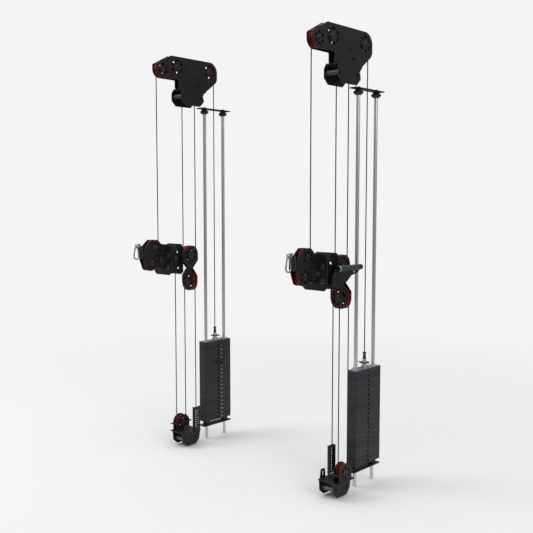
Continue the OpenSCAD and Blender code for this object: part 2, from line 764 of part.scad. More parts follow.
// Round grip with its end collar, and the bent web plate that carries it
module handle() {
    y0 = trolley_y[1] - 5;
    g = [grip_out, grip_z];
    bar_y(grip_d, y0, grip_end_y - grip_d / 2, g);
    translate([g.x, grip_end_y - grip_d / 2, g.y]) sphere(d = grip_d);
    translate([g.x, y0 - 6, g.y]) rotate([-90, 0, 0]) cylinder(d1 = grip_d + 4, d2 = grip_d + 8, h = 10);
    plate_x(grip_out - 3, 6) difference() {
        polygon(outline([
            [y0 - 40, trolley_low_z + 22, 6], [y0 + 18, trolley_low_z + 8, 6],
            [y0 + 76, trolley_low_z + 38, 20], [y0 + 110, trolley_low_z + 64, 20],
            [y0 + 160, trolley_low_z + 76, 10],
            [grip_end_y - 18, grip_z - 10, 0], [y0 - 4, grip_z, 0], [y0 - 40, trolley_low_z + 70, 6]
        ]));
        translate([y0 + 134, grip_z - 21]) circle(d = 12);
    }
    translate([saddle_out, y0 - 38, trolley_low_z + 30]) cube([grip_out - 3 - saddle_out, 30, 36]);
}

// Tab at the back of the trolley that the lower cable ends on
module tail_anchor() {
    translate([large_r - 10, trolley_y[1], anchor_z]) cube([20, tail_y + 12 - trolley_y[1], 8]);
    bar_z(12, anchor_z + 8, anchor_z + 26, [large_r, tail_y]);
}

// Slide pads that line the trolley's sleeve
module trolley_pads() {
    z = [trolley_low_z + 6, trolley_top_z - 36];
    t = tube_gap - 0.5;
    color(pad_black) for (low = z) {
        translate([-30, upright_y[0] - tube_gap, low]) cube([60, t, 30]);
        translate([-30, upright_y[1] + 0.5, low]) cube([60, t, 30]);
        for (s = [-1, 1]) translate([s > 0 ? tube_half + 0.5 : -saddle_in, upright_mid - 26, low])
            cube([t, 52, 30]);
    }
}

// Spring-loaded pin that locks the trolley into the upright's holes
module lock_pin() {
    out = -saddle_out - 10;
    color(bright_steel) bar_x(lock_pin_d, out - 0.3, -tube_half + 12, [upright_mid, lock_z]);
    color(pad_black) translate([out - 0.3, upright_mid, lock_z]) rotate([0, -90, 0])
        rotate_extrude() polygon([[0, 0], [13, 0], [15, 2.5], [15, 10], [12, 14], [0, 14]]);
}

// Outline of the swivel arm's plates, in y and z
module arm_outline() {
    y = swivel_y;
    z = arm_axle_z;
    polygon(outline([
        [y + 12, z - 41.5, 4], [y + 12, z + 16, 10], [y - 18, z + 45, 8], [y - 66, z + 45, 6],
        [y - 100, z + 14, 14], [y - 122, z - 26, 20], [y - 122, z - 68, 20],
        [y - 100, z - 126, 14], [y - 74, z - 134, 10], [y - 22, z - 118, 14], [y - 22, z - 41.5, 4]
    ]));
}

// Swivel arm: two plates, the hub block on the swivel pin and the pulleys' axle bolts
module arm_frame() {
    z0 = trolley_low_z + 53.5;
    z1 = trolley_low_z + 110.5;
    hub_r = swivel_pin_d / 2 + 6;
    color(powder_black) {
        for (u = [-plate_out, bay_half]) plate_x(u, steel_t) difference() {
            arm_outline();
            six_windows(arm_top_c, 26, 9, 16);
            six_windows(arm_low_c, 26, 9, 16);
            for (c = [arm_top_c, arm_low_c]) translate(c) circle(d = axle_d);
        }
        difference() {
            union() {
                bar_z(2 * hub_r, z0, z1, [0, swivel_y]);
                for (u = [-plate_out, bay_half - 4])
                    translate([u, swivel_y - 26, z0]) cube([steel_t + 4, 22, z1 - z0]);
                translate([-bay_half, swivel_y - 12, z0]) cube([pulley_bay, 8, z1 - z0]);
            }
            bar_z(swivel_pin_d + 0.1, z0 - 1, z1 + 1, [0, swivel_y]);
        }
    }
    color(bright_steel) for (c = [arm_top_c, arm_low_c]) axle_bolt(c, plate_out);
}

// Cable's end: the wrap under the upper arm pulley, the rubber stop and the swivel eye
module cable_end() {
    y = swivel_y;
    out_z = arm_axle_z - small_r;
    front = y - 122;
    color(cable_black) {
        cable_wrap(arm_top_c, small_r, 270, 360);
        straight([arm_top_c.x, out_z], [front + 12, out_z], cable_d);
        translate([0, front - 0.3, 0]) rotate([90, 0, 0]) linear_extrude(10) polygon(outline([
            [-19, out_z - 24, 12], [19, out_z - 24, 12], [19, out_z + 50, 12], [-19, out_z + 50, 12]
        ]));
        bar_y(24, front - 0.3, front + 12, [0, out_z]);
    }
    color(bright_steel) swivel_eye();
}

// Ring that the carabiner hangs in, on a shank from the rubber stop
module swivel_eye() {
    lug_y = swivel_y - eye_reach;
    translate([0, hook_y, eye_z]) rotate([90, 0, 0]) rotate_extrude() translate([eye_r, 0])
        circle(d = eye_wire, $fn = 24);
    bar_y(eye_wire + 1, hook_y, lug_y, [0, eye_z + eye_r]);
    translate([-6, lug_y - 4, eye_z - 9]) cube([12, 4, eye_r + 14]);
}

// Carabiner: a pear-shaped wire loop in the y-z plane, open where its gate closes it
module hook_bow(c, r, from, to) {
    translate([0, c.x, c.y]) rotate([90, 0, 90]) rotate([0, 0, from])
        rotate_extrude(angle = to - from) translate([r, 0]) circle(d = hook_wire, $fn = 24);
}
module carabiner() {
    color(bright_steel) {
        hook_bow(hook_low_c, hook_r_low, 180 - hook_lean, 360 + hook_lean);
        hook_bow(hook_top_c, hook_r_top, hook_lean, 180 - hook_lean);
        straight(on_circle(hook_low_c, hook_r_low, hook_lean),
            on_circle(hook_top_c, hook_r_top, hook_lean), hook_wire);
        straight(gate_low, gate_hinge - (gate_d / 2 + 1.1) * gate_along, hook_wire);
        straight(gate_end + 1.4 * gate_along, gate_top, hook_wire);
    }
}

// Gate with a knuckle at its lower end, which it turns on
module carabiner_gate() {
    color(rod_steel) {
        bar_x(gate_d, -gate_d / 2, gate_d / 2, gate_hinge);
        translate([0, gate_hinge.x, gate_hinge.y]) rotate([-atan2(gate_along.x, gate_along.y), 0, 0])
            cylinder(d = gate_d, h = norm(gate_end - gate_hinge));
    }
}

// Outline of one floating block shield: round end r about the pulley, shoulders and a narrow waist
module shield(r, waist, reach) {
    polygon(outline([
        [-r, -8, 12], [-r + 8, -r * 0.62, 8], [-r * 0.45, -r, 14], [r * 0.45, -r, 14],
        [r - 8, -r * 0.62, 8], [r, -8, 12], [r, r * 0.62, 10], [waist, reach, 6], [-waist, reach, 6],
        [-r, r * 0.62, 10]
    ]));
}

// Floating block: two pairs of plates at right angles, joined at the waist
module float_frame() {
    u = float_bay / 2;
    r = large_out - 2;
    waist_z = (float_axle_z + float_low_z) / 2;
    reach = float_axle_drop / 2;
    color(powder_black) {
        for (x = [-u - steel_t + 1, u]) plate_x(x, steel_t - 1) difference() {
            translate(float_top_c) mirror([0, 1]) shield(r, 20, reach - 4);
            large_windows(float_top_c);
            translate(float_top_c) circle(d = axle_d);
        }
        for (y = [float_y - u - steel_t + 1, float_y + u]) plate_y(y, steel_t - 1) difference() {
            translate([0, float_low_z]) shield(r, 20, reach - 4);
            large_windows([0, float_low_z]);
            translate([0, float_low_z]) circle(d = axle_d);
        }
        translate([-u - steel_t + 1, float_y - u - steel_t + 1, waist_z - 8])
            cube([2 * (u + steel_t - 1), 2 * (u + steel_t - 1), 16]);
    }
    color(bright_steel) {
        axle_bolt(float_top_c, u + steel_t - 1);
        translate([0, float_y, float_low_z]) rotate([0, 0, 90]) axle_bolt([0, 0], u + steel_t - 1);
    }
}

// Cable where it bends round the two floating pulleys
module float_cable() {
    color(cable_black) {
        cable_wrap(float_top_c, large_r, 180, 360);
        translate([0, float_y, 0]) rotate([0, 0, -90]) cable_wrap([0, float_low_z], large_r, 0, 180);
    }
}

// Cable over the fixed top pulleys and under the bottom one, both towers
module fixed_cables() {
    nose_dir = belt_angle(nose_c, small_r, middle_c, large_r);
    rear_dir = belt_angle(guide_c, guide_r, rear_c, large_r);
    color(cable_black) on_both() {
        cable_wrap(nose_c, small_r, nose_dir + 90, 180);
        straight(on_circle(nose_c, small_r, nose_dir + 90),
            on_circle(middle_c, large_r, nose_dir + 90), cable_d);
        cable_wrap(middle_c, large_r, 0, nose_dir + 90);
        cable_wrap(guide_c, guide_r, rear_dir + 90, 180);
        straight(on_circle(guide_c, guide_r, rear_dir + 90),
            on_circle(rear_c, large_r, rear_dir + 90), cable_d);
        cable_wrap(rear_c, large_r, 0, rear_dir + 90);
        cable_wrap(bottom_c, small_r, 180, 360, large_r);
    }
}

// Upright cable run between two heights, at x = u
module cable_run(u, y, low, high) {
    color(cable_black) bar_z(cable_d, low, high, [u, y]);
}

module front_run() {
    cable_run(0, swivel_y, arm_axle_z, nose_c.y);
}
module float_upper_runs() {
    cable_run(0, float_y - large_r, float_axle_z, middle_c.y);
    cable_run(0, float_y + large_r, float_axle_z, guide_c.y);
}
module float_lower_runs() {
    cable_run(large_r, float_y, bottom_c.y, float_low_z);
    cable_run(-large_r, float_y, strip_top_z - 6, float_low_z);
}
module tail_run() {
    cable_run(large_r, tail_y, bottom_c.y, anchor_z);
}
module stack_run() {
    cable_run(0, stack_y, fitting_top_z, rear_c.y);
}

module top_sheave(c, large) {
    color(pulley_red) translate([0, c.x, c.y]) {
        if (large) large_sheave(bay_half - 0.5);
        if (!large) small_sheave(bay_half - 0.5);
    }
}
module nose_pulley() {
    top_sheave(nose_c, false);
}
module middle_pulley() {
    top_sheave(middle_c, true);
}
module rear_pulley() {
    top_sheave(rear_c, true);
}
module bottom_pulley() {
    translate([large_r, 0, 0]) top_sheave(bottom_c, false);
}
module arm_pulley_upper() {
    top_sheave(arm_top_c, false);
}
module arm_pulley_lower() {
    top_sheave(arm_low_c, false);
}
module float_pulley_upper() {
    color(pulley_red) translate([0, float_top_c.x, float_top_c.y]) large_sheave(float_bay / 2 - 0.5);
}
module float_pulley_lower() {
    color(pulley_red) translate([0, float_y, float_low_z]) rotate([0, 0, 90])
        large_sheave(float_bay / 2 - 0.5);
}

housing_plates();
housing_hardware();
top_saddles();
bottom_brackets();
guide_rods();
rod_bars();
resting_plates();
fixed_cables();
on_tower(1) nose_pulley();  // nose_pulley_right
on_tower(1) middle_pulley();  // middle_pulley_right
on_tower(1) rear_pulley();  // rear_pulley_right
on_tower(1) bottom_pulley();  // bottom_pulley_right
on_tower(1) trolley_frame();  // trolley_frame_right
on_tower(1) trolley_pads();  // trolley_pads_right
on_tower(1) lock_pin();  // lock_pin_right
on_tower(1) arm_frame();  // arm_frame_right
on_tower(1) arm_pulley_upper();  // arm_pulley_upper_right
on_tower(1) arm_pulley_lower();  // arm_pulley_lower_right
on_tower(1) cable_end();  // cable_end_right
on_tower(1) carabiner();  // carabiner_right
on_tower(1) carabiner_gate();  // carabiner_gate_right
on_tower(1) float_frame();  // float_frame_right
on_tower(1) float_pulley_upper();  // float_pulley_upper_right
on_tower(1) float_pulley_lower();  // float_pulley_lower_right
on_tower(1) float_cable();  // float_cable_right
on_tower(1) lifted_plates();  // lifted_plates_right
on_tower(1) stack_stem();  // stack_stem_right
on_tower(1) selector_pin();  // selector_pin_right
on_tower(1) pin_lanyard();  // pin_lanyard_right
on_tower(1) front_run();  // front_run_right
on_tower(1) float_upper_runs();  // float_upper_runs_right
on_tower(1) float_lower_runs();  // float_lower_runs_right
on_tower(1) tail_run();  // tail_run_right
on_tower(1) stack_run();  // stack_run_right
on_tower(-1) nose_pulley();  // nose_pulley_left
on_tower(-1) middle_pulley();  // middle_pulley_left
on_tower(-1) rear_pulley();  // rear_pulley_left
on_tower(-1) bottom_pulley();  // bottom_pulley_left
on_tower(-1) trolley_frame();  // trolley_frame_left
on_tower(-1) trolley_pads();  // trolley_pads_left
on_tower(-1) lock_pin();  // lock_pin_left
on_tower(-1) arm_frame();  // arm_frame_left
on_tower(-1) arm_pulley_upper();  // arm_pulley_upper_left
on_tower(-1) arm_pulley_lower();  // arm_pulley_lower_left
on_tower(-1) cable_end();  // cable_end_left
on_tower(-1) carabiner();  // carabiner_left
on_tower(-1) carabiner_gate();  // carabiner_gate_left
on_tower(-1) float_frame();  // float_frame_left
on_tower(-1) float_pulley_upper();  // float_pulley_upper_left
on_tower(-1) float_pulley_lower();  // float_pulley_lower_left
on_tower(-1) float_cable();  // float_cable_left
on_tower(-1) lifted_plates();  // lifted_plates_left
on_tower(-1) stack_stem();  // stack_stem_left
on_tower(-1) selector_pin();  // selector_pin_left
on_tower(-1) pin_lanyard();  // pin_lanyard_left
on_tower(-1) front_run();  // front_run_left
on_tower(-1) float_upper_runs();  // float_upper_runs_left
on_tower(-1) float_lower_runs();  // float_lower_runs_left
on_tower(-1) tail_run();  // tail_run_left
on_tower(-1) stack_run();  // stack_run_left
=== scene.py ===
import json
import math

import bmesh
import bpy
import numpy as np
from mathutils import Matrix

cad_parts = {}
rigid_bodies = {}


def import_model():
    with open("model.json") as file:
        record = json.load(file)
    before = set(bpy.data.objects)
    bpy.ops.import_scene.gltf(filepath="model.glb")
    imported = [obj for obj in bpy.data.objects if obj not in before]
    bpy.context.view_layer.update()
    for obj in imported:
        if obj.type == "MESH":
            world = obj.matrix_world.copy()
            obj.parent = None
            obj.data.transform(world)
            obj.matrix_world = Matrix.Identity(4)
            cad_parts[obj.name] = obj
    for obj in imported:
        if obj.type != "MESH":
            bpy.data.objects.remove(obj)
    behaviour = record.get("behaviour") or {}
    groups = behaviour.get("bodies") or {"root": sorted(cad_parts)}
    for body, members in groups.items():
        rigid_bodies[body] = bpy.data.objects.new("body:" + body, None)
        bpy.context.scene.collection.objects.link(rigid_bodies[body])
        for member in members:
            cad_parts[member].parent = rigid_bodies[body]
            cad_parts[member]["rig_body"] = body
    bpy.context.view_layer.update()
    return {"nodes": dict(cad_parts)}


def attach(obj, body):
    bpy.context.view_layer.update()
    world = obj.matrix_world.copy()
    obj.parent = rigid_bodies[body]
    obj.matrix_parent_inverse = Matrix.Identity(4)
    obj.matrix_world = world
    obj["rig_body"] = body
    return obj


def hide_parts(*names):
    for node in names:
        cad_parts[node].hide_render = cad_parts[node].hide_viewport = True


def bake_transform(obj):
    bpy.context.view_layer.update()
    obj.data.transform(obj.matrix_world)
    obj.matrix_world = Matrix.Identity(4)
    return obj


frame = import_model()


# Camera. It stands to the right in front of the towers, a little above the trolleys, and looks
# slightly down past the right tower at the left one.
camera = bpy.data.objects.new("camera", bpy.data.cameras.new("camera"))
bpy.context.scene.collection.objects.link(camera)
bpy.context.scene.camera = camera
camera.data.lens = 50
camera.data.sensor_width = 36
camera.location = (2.8713, -2.8855, 1.4821)
camera.rotation_euler = (math.radians(90 - 4.820), 0, math.radians(43.747))


# Pin lanyards. A 3 mm braided nylon cord ties each selector pin to the rubber sleeve on top of its
# stack. It leaves the sleeve sideways, hangs over the stack's inner edge in a slack bow, behind the
# pin holes on the left tower and in front of them on the right one, and ends in the pin.
SIDES = {"right": 1, "left": -1}
TOWER_OUT, TOWER_BACK = 584, 173.8
LANYARD_WIDTH = 0.003
LANYARDS = {
    "right": [
        (-18, 64, 653.3), (-22, 61, 656.5), (-27, 53, 655), (-31, 42, 646),
        (-34, 31, 634), (-36, 24, 618), (-37.5, 21, 595), (-38.5, 22, 565),
        (-39, 31, 533), (-38.5, 48, 508), (-36, 64, 496), (-33, 74.5, 493),
    ],
    "left": [
        (-18, 88.4, 653.3), (-22, 90, 656.5), (-27, 94, 653), (-31, 99, 643),
        (-34, 103, 631), (-36, 106, 617), (-37.5, 109, 595), (-38.5, 114, 565),
        (-40, 118, 530), (-40.5, 114, 500), (-38, 97, 486), (-33.5, 79, 493),
    ],
}


def on_tower(side, points):
    """Points given in millimetres outwards, back and up from a tower's own origin, as metres in the
    object's frame: x = side (TOWER_OUT + outwards), y = back + TOWER_BACK, z = up."""
    outwards, back, up = np.moveaxis(np.asarray(points, float), -1, 0)
    return np.stack([side * (TOWER_OUT + outwards), back + TOWER_BACK, up], -1) / 1000


def smooth_route(points, steps):
    """Catmull-Rom curve. Between b and c, with a and d their neighbours and t from 0 to 1, it is
    0.5 (2b + (c-a)t + (2a-5b+4c-d)t^2 + (3b-a-3c+d)t^3)."""
    p = np.asarray(points, float)
    a, b, c, d = (
        p[np.clip(np.arange(len(p) - 1) + k, 0, len(p) - 1)][:, None] for k in (-1, 0, 1, 2))
    t = (np.arange(steps) / steps)[None, :, None]
    curve = 0.5 * (2 * b + (c - a) * t + (2 * a - 5 * b + 4 * c - d) * t**2
                   + (3 * b - a - 3 * c + d) * t**3)
    return np.concatenate([curve.reshape(-1, 3), p[-1:]])


def along(path, radius, across, sides=12):
    """Grid of circles carried along a path: p + r (cos a s + sin a b), where t is the path's
    direction, s = t x across made unit, b = s x t, and r may change from point to point."""
    path = np.asarray(path, float)
    t = np.gradient(path, axis=0)
    t /= np.linalg.norm(t, axis=1, keepdims=True)
    s = np.cross(t, across)
    s /= np.linalg.norm(s, axis=1, keepdims=True)
    b = np.cross(s, t)
    a = np.linspace(0, 2 * np.pi, sides + 1)[None, :, None]
    r = np.broadcast_to(radius, len(path))[:, None, None]
    return path[:, None] + r * (np.cos(a) * s[:, None] + np.sin(a) * b[:, None])


def capped(grid):
    """The grid with one more row at each end, drawn in to that end's middle: this closes a tube."""
    first, last = (
        np.broadcast_to(row[:, :-1].mean(1, keepdims=True), row.shape)
        for row in (grid[:1], grid[-1:]))
    return np.concatenate([first, grid, last])


def piece(name, grids, material, crease=35):
    """Mesh of several grids of points (rows, columns, 3), where each cell is one face. Seams and
    poles are merged and the faces turned outwards, and an edge that turns more than the crease, in
    degrees, stays sharp. Its UV map runs 0 to 1 round the columns and in metres along the rows."""
    points, faces, uvs, start = [], [], [], 0
    for grid in grids:
        rows, columns = grid.shape[:2]
        index = np.arange(rows * columns).reshape(rows, columns) + start
        cells = [index[:-1, :-1], index[:-1, 1:], index[1:, 1:], index[1:, :-1]]
        faces.append(np.stack(cells, -1).reshape(-1, 4))
        points.append(grid.reshape(-1, 3))
        steps = np.linalg.norm(np.diff(grid.mean(1), axis=0), axis=1)
        metres = np.concatenate([[0], np.cumsum(steps)])[:, None]
        turn = np.linspace(0, 1, columns)[None, :]
        uvs.append(np.stack(np.broadcast_arrays(turn, metres), -1).reshape(-1, 2))
        start += rows * columns
    points, faces, uvs = (np.concatenate(parts) for parts in (points, faces, uvs))
    mesh = bpy.data.meshes.new(name)
    mesh.from_pydata(points.tolist(), [], faces.tolist())
    mesh.uv_layers.new(name="UVMap").data.foreach_set(
        "uv", uvs[faces.ravel()].astype(np.float32).ravel())
    work = bmesh.new()
    work.from_mesh(mesh)
    bmesh.ops.remove_doubles(work, verts=work.verts, dist=1e-6)
    bmesh.ops.recalc_face_normals(work, faces=work.faces)
    work.to_mesh(mesh)
    work.free()
    mesh.materials.append(material)
    mesh.shade_smooth()
    mesh.set_sharp_from_angle(angle=math.radians(crease))
    made = bpy.data.objects.new(name, mesh)
    bpy.context.scene.collection.objects.link(made)
    return made


def linear(hex_colour):
    """Scene-linear colour of an sRGB hex value: c / 12.92 up to 0.04045, and above it
    ((c + 0.055) / 1.055) ^ 2.4."""
    c = np.array([int(hex_colour[i:i + 2], 16) for i in (1, 3, 5)]) / 255
    return (*np.where(c <= 0.04045, c / 12.92, ((c + 0.055) / 1.055) ** 2.4), 1.0)


def add(tree, kind, sockets=None, **settings):
    """Adds a node to the tree. Settings are its properties; sockets are values, or outputs that
    feed them."""
    node = tree.nodes.new(kind)
    for key, value in settings.items():
        setattr(node, key, value)
    for key, value in (sockets or {}).items():
        if isinstance(value, bpy.types.NodeSocket):
            tree.links.new(value, node.inputs[key])
        else:
            node.inputs[key].default_value = value
    return node


def new_material(name, **sockets):
    """A material with its Principled shader: returns the material, its node tree and the shader.
    A socket's name has _ for each space."""
    material = bpy.data.materials.new(name)
    material.use_nodes = True
    tree = material.node_tree
    shader = tree.nodes["Principled BSDF"]
    for key, value in sockets.items():
        shader.inputs[key.replace("_", " ")].default_value = value
    return material, tree, shader


def strands(tree, count, lay, way):
    """Strands wound on a cord, from -1 between them to 1 on them: sin(2 pi count u + 2 pi v / lay),
    or with - where way is SUBTRACT and not ADD. The UV map's u goes once round the cord, and v runs
    along it in metres."""
    uv = add(tree, "ShaderNodeSeparateXYZ", {0: add(tree, "ShaderNodeTexCoord").outputs["UV"]})
    turn = add(tree, "ShaderNodeMath", {
        0: uv.outputs["X"], 1: count * 2 * math.pi}, operation="MULTIPLY")
    rise = add(tree, "ShaderNodeMath", {
        0: uv.outputs["Y"], 1: 2 * math.pi / lay}, operation="MULTIPLY")
    phase = add(tree, "ShaderNodeMath", {0: turn.outputs[0], 1: rise.outputs[0]}, operation=way)
    return add(tree, "ShaderNodeMath", {0: phase.outputs[0]}, operation="SINE").outputs[0]


# Nylon yarn: a matt black braid, whose six strands each way cross at a slant every 2 mm along it
braid, tree, shader = new_material(
    "braided nylon cord", Roughness=0.75, IOR=1.53, Specular_IOR_Level=0.15)
weave = add(tree, "ShaderNodeMath", {
    0: strands(tree, 6, 0.004, "ADD"), 1: strands(tree, 6, 0.004, "SUBTRACT")}, operation="MAXIMUM")
yarn = add(tree, "ShaderNodeMapRange", {
    "Value": weave.outputs[0], "From Min": -0.6, "From Max": 1}).outputs[0]
colour = add(tree, "ShaderNodeMix", {
    0: yarn, 6: linear("#040404"), 7: linear("#101011")}, data_type="RGBA")
tree.links.new(colour.outputs[2], shader.inputs["Base Color"])
bump = add(tree, "ShaderNodeBump", {"Height": yarn, "Distance": 0.0003, "Strength": 0.8})
tree.links.new(bump.outputs[0], shader.inputs["Normal"])

for tower, side in SIDES.items():
    fine = on_tower(side, smooth_route(LANYARDS[tower], 8))
    tube = capped(along(fine, LANYARD_WIDTH / 2, (0, 1, 0)))
    lanyard = piece(f"lanyard_{tower}", [tube], braid)
    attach(lanyard, f"lifted_stack_{tower}")
    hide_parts(f"pin_lanyard_{tower}")


# Studio. A pale floor without a visible end, a bright ceiling and one large softbox at the upper
# left, with a weaker one at the right, as in a product picture. None of it belongs to the object.
BACKDROP = linear("#f4f4f4")
FLOOR_RINGS = [0, 2, 4, 8, 20, 60]
floor = bpy.data.objects.new("studio_floor", bpy.data.meshes.new("studio_floor"))
bpy.context.scene.collection.objects.link(floor)
ring, spoke = np.meshgrid(FLOOR_RINGS, np.linspace(0, 2 * np.pi, 49), indexing="ij")
corners = np.stack([ring * np.cos(spoke), ring * np.sin(spoke), 0 * ring], -1).reshape(-1, 3)
index = np.arange(ring.size).reshape(ring.shape)
cells = np.stack([index[:-1, :-1], index[1:, :-1], index[1:, 1:], index[:-1, 1:]], -1)
floor.data.from_pydata(corners.tolist(), [], cells.reshape(-1, 4).tolist())

# Matt white paint, which fades into the backdrop's even white between 1.2 and 5 m from the middle
floor_paint, tree, shader = new_material(
    "matt white studio floor", Base_Color=linear("#e2e2e2"), Roughness=0.9, Specular_IOR_Level=0.0)
spot = add(tree, "ShaderNodeTexCoord").outputs["Object"]
reach = add(tree, "ShaderNodeVectorMath", {0: spot}, operation="LENGTH")
fade = add(tree, "ShaderNodeMapRange", {
    "Value": reach.outputs["Value"], "From Min": 1.2, "From Max": 5.0},
    interpolation_type="SMOOTHSTEP")
seen = add(tree, "ShaderNodeLightPath").outputs["Is Camera Ray"]
far = add(tree, "ShaderNodeEmission", {"Color": BACKDROP, "Strength": 1.0})
dim = add(tree, "ShaderNodeEmission", {"Color": BACKDROP, "Strength": 0.35})
plain = add(tree, "ShaderNodeMixShader", {0: seen, 1: dim.outputs[0], 2: far.outputs[0]})
mixed = add(tree, "ShaderNodeMixShader", {
    0: fade.outputs[0], 1: shader.outputs[0], 2: plain.outputs[0]})
tree.links.new(mixed.outputs[0], tree.nodes["Material Output"].inputs["Surface"])
floor.data.materials.append(floor_paint)

# The room gives more light from its ceiling than from its walls; the camera sees an even backdrop
world = bpy.data.worlds.new("studio")
world.use_nodes = True
bpy.context.scene.world = world
tree = world.node_tree
tree.nodes.clear()
height = add(tree, "ShaderNodeSeparateXYZ", {
    0: add(tree, "ShaderNodeTexCoord").outputs["Generated"]})
sky = add(tree, "ShaderNodeMapRange", {
    "Value": height.outputs["Z"], "From Min": 0.0, "From Max": 0.9, "To Min": 0.12, "To Max": 1.25})
room = add(tree, "ShaderNodeBackground", {"Color": (1, 1, 1, 1), "Strength": sky.outputs[0]})
seen = add(tree, "ShaderNodeLightPath").outputs["Is Camera Ray"]
wall = add(tree, "ShaderNodeBackground", {"Color": BACKDROP, "Strength": 1.0})
both = add(tree, "ShaderNodeMixShader", {0: seen, 1: room.outputs[0], 2: wall.outputs[0]})
tree.links.new(both.outputs[0], add(tree, "ShaderNodeOutputWorld").inputs["Surface"])
bpy.context.scene.view_settings.view_transform = "Standard"


def softbox(name, place, target, size, power):
    """A square area light of a size and at a place in metres, with its power in watts, turned
    towards a target: its -Z axis lies along target - place."""
    lamp = bpy.data.objects.new(name, bpy.data.lights.new(name, "AREA"))
    bpy.context.scene.collection.objects.link(lamp)
    lamp.data.size = size
    lamp.data.energy = power
    lamp.location = place
    aim = bpy.data.objects.new(name + "_aim", None)
    aim.location = target
    direction = aim.location - lamp.location
    lamp.rotation_euler = direction.to_track_quat("-Z", "Y").to_euler()
    bpy.data.objects.remove(aim)


softbox("softbox_left", (-3.2, -2.6, 4.6), (0, 0, 1.0), 2.6, 90)
softbox("softbox_front", (4.5, -0.5, 3.2), (0.3, 0, 1.2), 2.0, 40)


# Plates and weldments. Laser-cut and folded steel of 4 to 8 mm, welded together, blasted and powder
# coated matt black. The copies keep the CAD's shape, with the small round that the coating leaves
# on every edge.
def softened(node, name, material, edge):
    """Copy of a CAD node in which the loose triangles are joined, flat areas made whole, and each
    edge that turns more than 40 degrees is rounded over the given width in millimetres. Large faces
    keep flat shading. The copy rides on the node's body and replaces it."""
    work = bmesh.new()
    work.from_mesh(frame["nodes"][node].data)
    bmesh.ops.remove_doubles(work, verts=work.verts, dist=2e-6)
    bmesh.ops.dissolve_limit(
        work, angle_limit=math.radians(0.5), verts=work.verts[:], edges=work.edges[:])
    mesh = bpy.data.meshes.new(name)
    work.to_mesh(mesh)
    work.free()
    mesh.materials.clear()
    mesh.materials.append(material)
    mesh.shade_smooth()
    made = bpy.data.objects.new(name, mesh)
    bpy.context.scene.collection.objects.link(made)
    rounding = made.modifiers.new("rounded edges", "BEVEL")
    rounding.width = edge / 1000
    rounding.segments = 2
    rounding.limit_method = "ANGLE"
    rounding.angle_limit = math.radians(40)
    rounding.use_clamp_overlap = False
    shading = made.modifiers.new("flat faces", "WEIGHTED_NORMAL")
    shading.weight = 100
    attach(made, frame["nodes"][node]["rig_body"])
    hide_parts(node)
    return made


def repaint(made, material, chosen):
    """Gives a further material to the faces whose middles pass a test. The test gets each middle's
    distance outwards, back and up from its tower's own origin, in millimetres, as arrays."""
    faces = made.data.polygons
    middles = np.empty(len(faces) * 3, np.float32)
    faces.foreach_get("center", middles)
    x, y, z = middles.reshape(-1, 3).T * 1000
    slots = np.empty(len(faces), np.int32)
    faces.foreach_get("material_index", slots)
    made.data.materials.append(material)
    slots[chosen(np.abs(x) - TOWER_OUT, y - TOWER_BACK, z)] = len(made.data.materials) - 1
    faces.foreach_set("material_index", slots)


def clouded(name, dark, light, size, detail, **sockets):
    """A material whose base colour drifts between two hex values in clouds of a size in
    millimetres: dark + (light - dark) noise(p / size). Returns the material, its tree and shader,
    the place on the object and the clouds."""
    material, tree, shader = new_material(name, **sockets)
    spot = add(tree, "ShaderNodeTexCoord").outputs["Object"]
    cloud = add(tree, "ShaderNodeTexNoise", {
        "Vector": spot, "Scale": 1000 / size, "Detail": detail}).outputs["Fac"]
    colour = add(tree, "ShaderNodeMix", {
        0: cloud, 6: linear(dark), 7: linear(light)}, data_type="RGBA")
    tree.links.new(colour.outputs[2], shader.inputs["Base Color"])
    return material, tree, shader, spot, cloud


# Polyester powder coat: matt, with a fine orange peel about 1.5 mm across and slight gloss changes
coat, tree, shader, spot, cloud = clouded(
    "black powder-coated steel", "#0c0d0f", "#141418", 80, 3.0, IOR=1.5, Specular_IOR_Level=0.34)
gloss = add(tree, "ShaderNodeMapRange", {
    "Value": cloud, "From Min": 0.3, "From Max": 0.7, "To Min": 0.42, "To Max": 0.56})
tree.links.new(gloss.outputs[0], shader.inputs["Roughness"])
peel = add(tree, "ShaderNodeTexNoise", {"Vector": spot, "Scale": 1000 / 1.5, "Detail": 2.0})
bump = add(tree, "ShaderNodeBump", {
    "Height": peel.outputs["Fac"], "Distance": 0.00006, "Strength": 0.5})
tree.links.new(bump.outputs[0], shader.inputs["Normal"])


# Zinc-plated steel, with soft cloudy changes of gloss from the bath: dull on washers, bright on the
# turned fittings and grey on the bent wire of the snap hooks. The saddles' sleeves get a darker
# copy, which paints the shade of the housing over them.
def plated(name, dark, light, smooth, rough):
    """Zinc-plated steel between two colours and two roughness values, in clouds of 6 mm."""
    material, tree, shader, _, cloud = clouded(name, dark, light, 6, 4.0, Metallic=1.0)
    gloss = add(tree, "ShaderNodeMapRange", {"Value": cloud, "To Min": smooth, "To Max": rough})
    tree.links.new(gloss.outputs[0], shader.inputs["Roughness"])
    return material


zinc = plated("dull zinc-plated steel", "#55585a", "#7d8082", 0.42, 0.58)
bright = plated("bright zinc-plated steel", "#b4b6b6", "#d6d7d7", 0.28, 0.42)
wire = plated("grey zinc-plated steel wire", "#8b8d8d", "#abadad", 0.3, 0.44)
# Darker plating for the saddles' sleeves: painted shade of the housing above them
shadowed = plated("worn zinc-plated steel sleeve", "#3f3f3d", "#5c5b58", 0.48, 0.62)

# Black oxide on steel: the dark, slightly oily finish of the bolts, in spots of 3 mm
oxide, *_ = clouded(
    "black-oxide steel bolt", "#232323", "#4a4a4b", 3, 3.0, Metallic=0.9, Roughness=0.38)

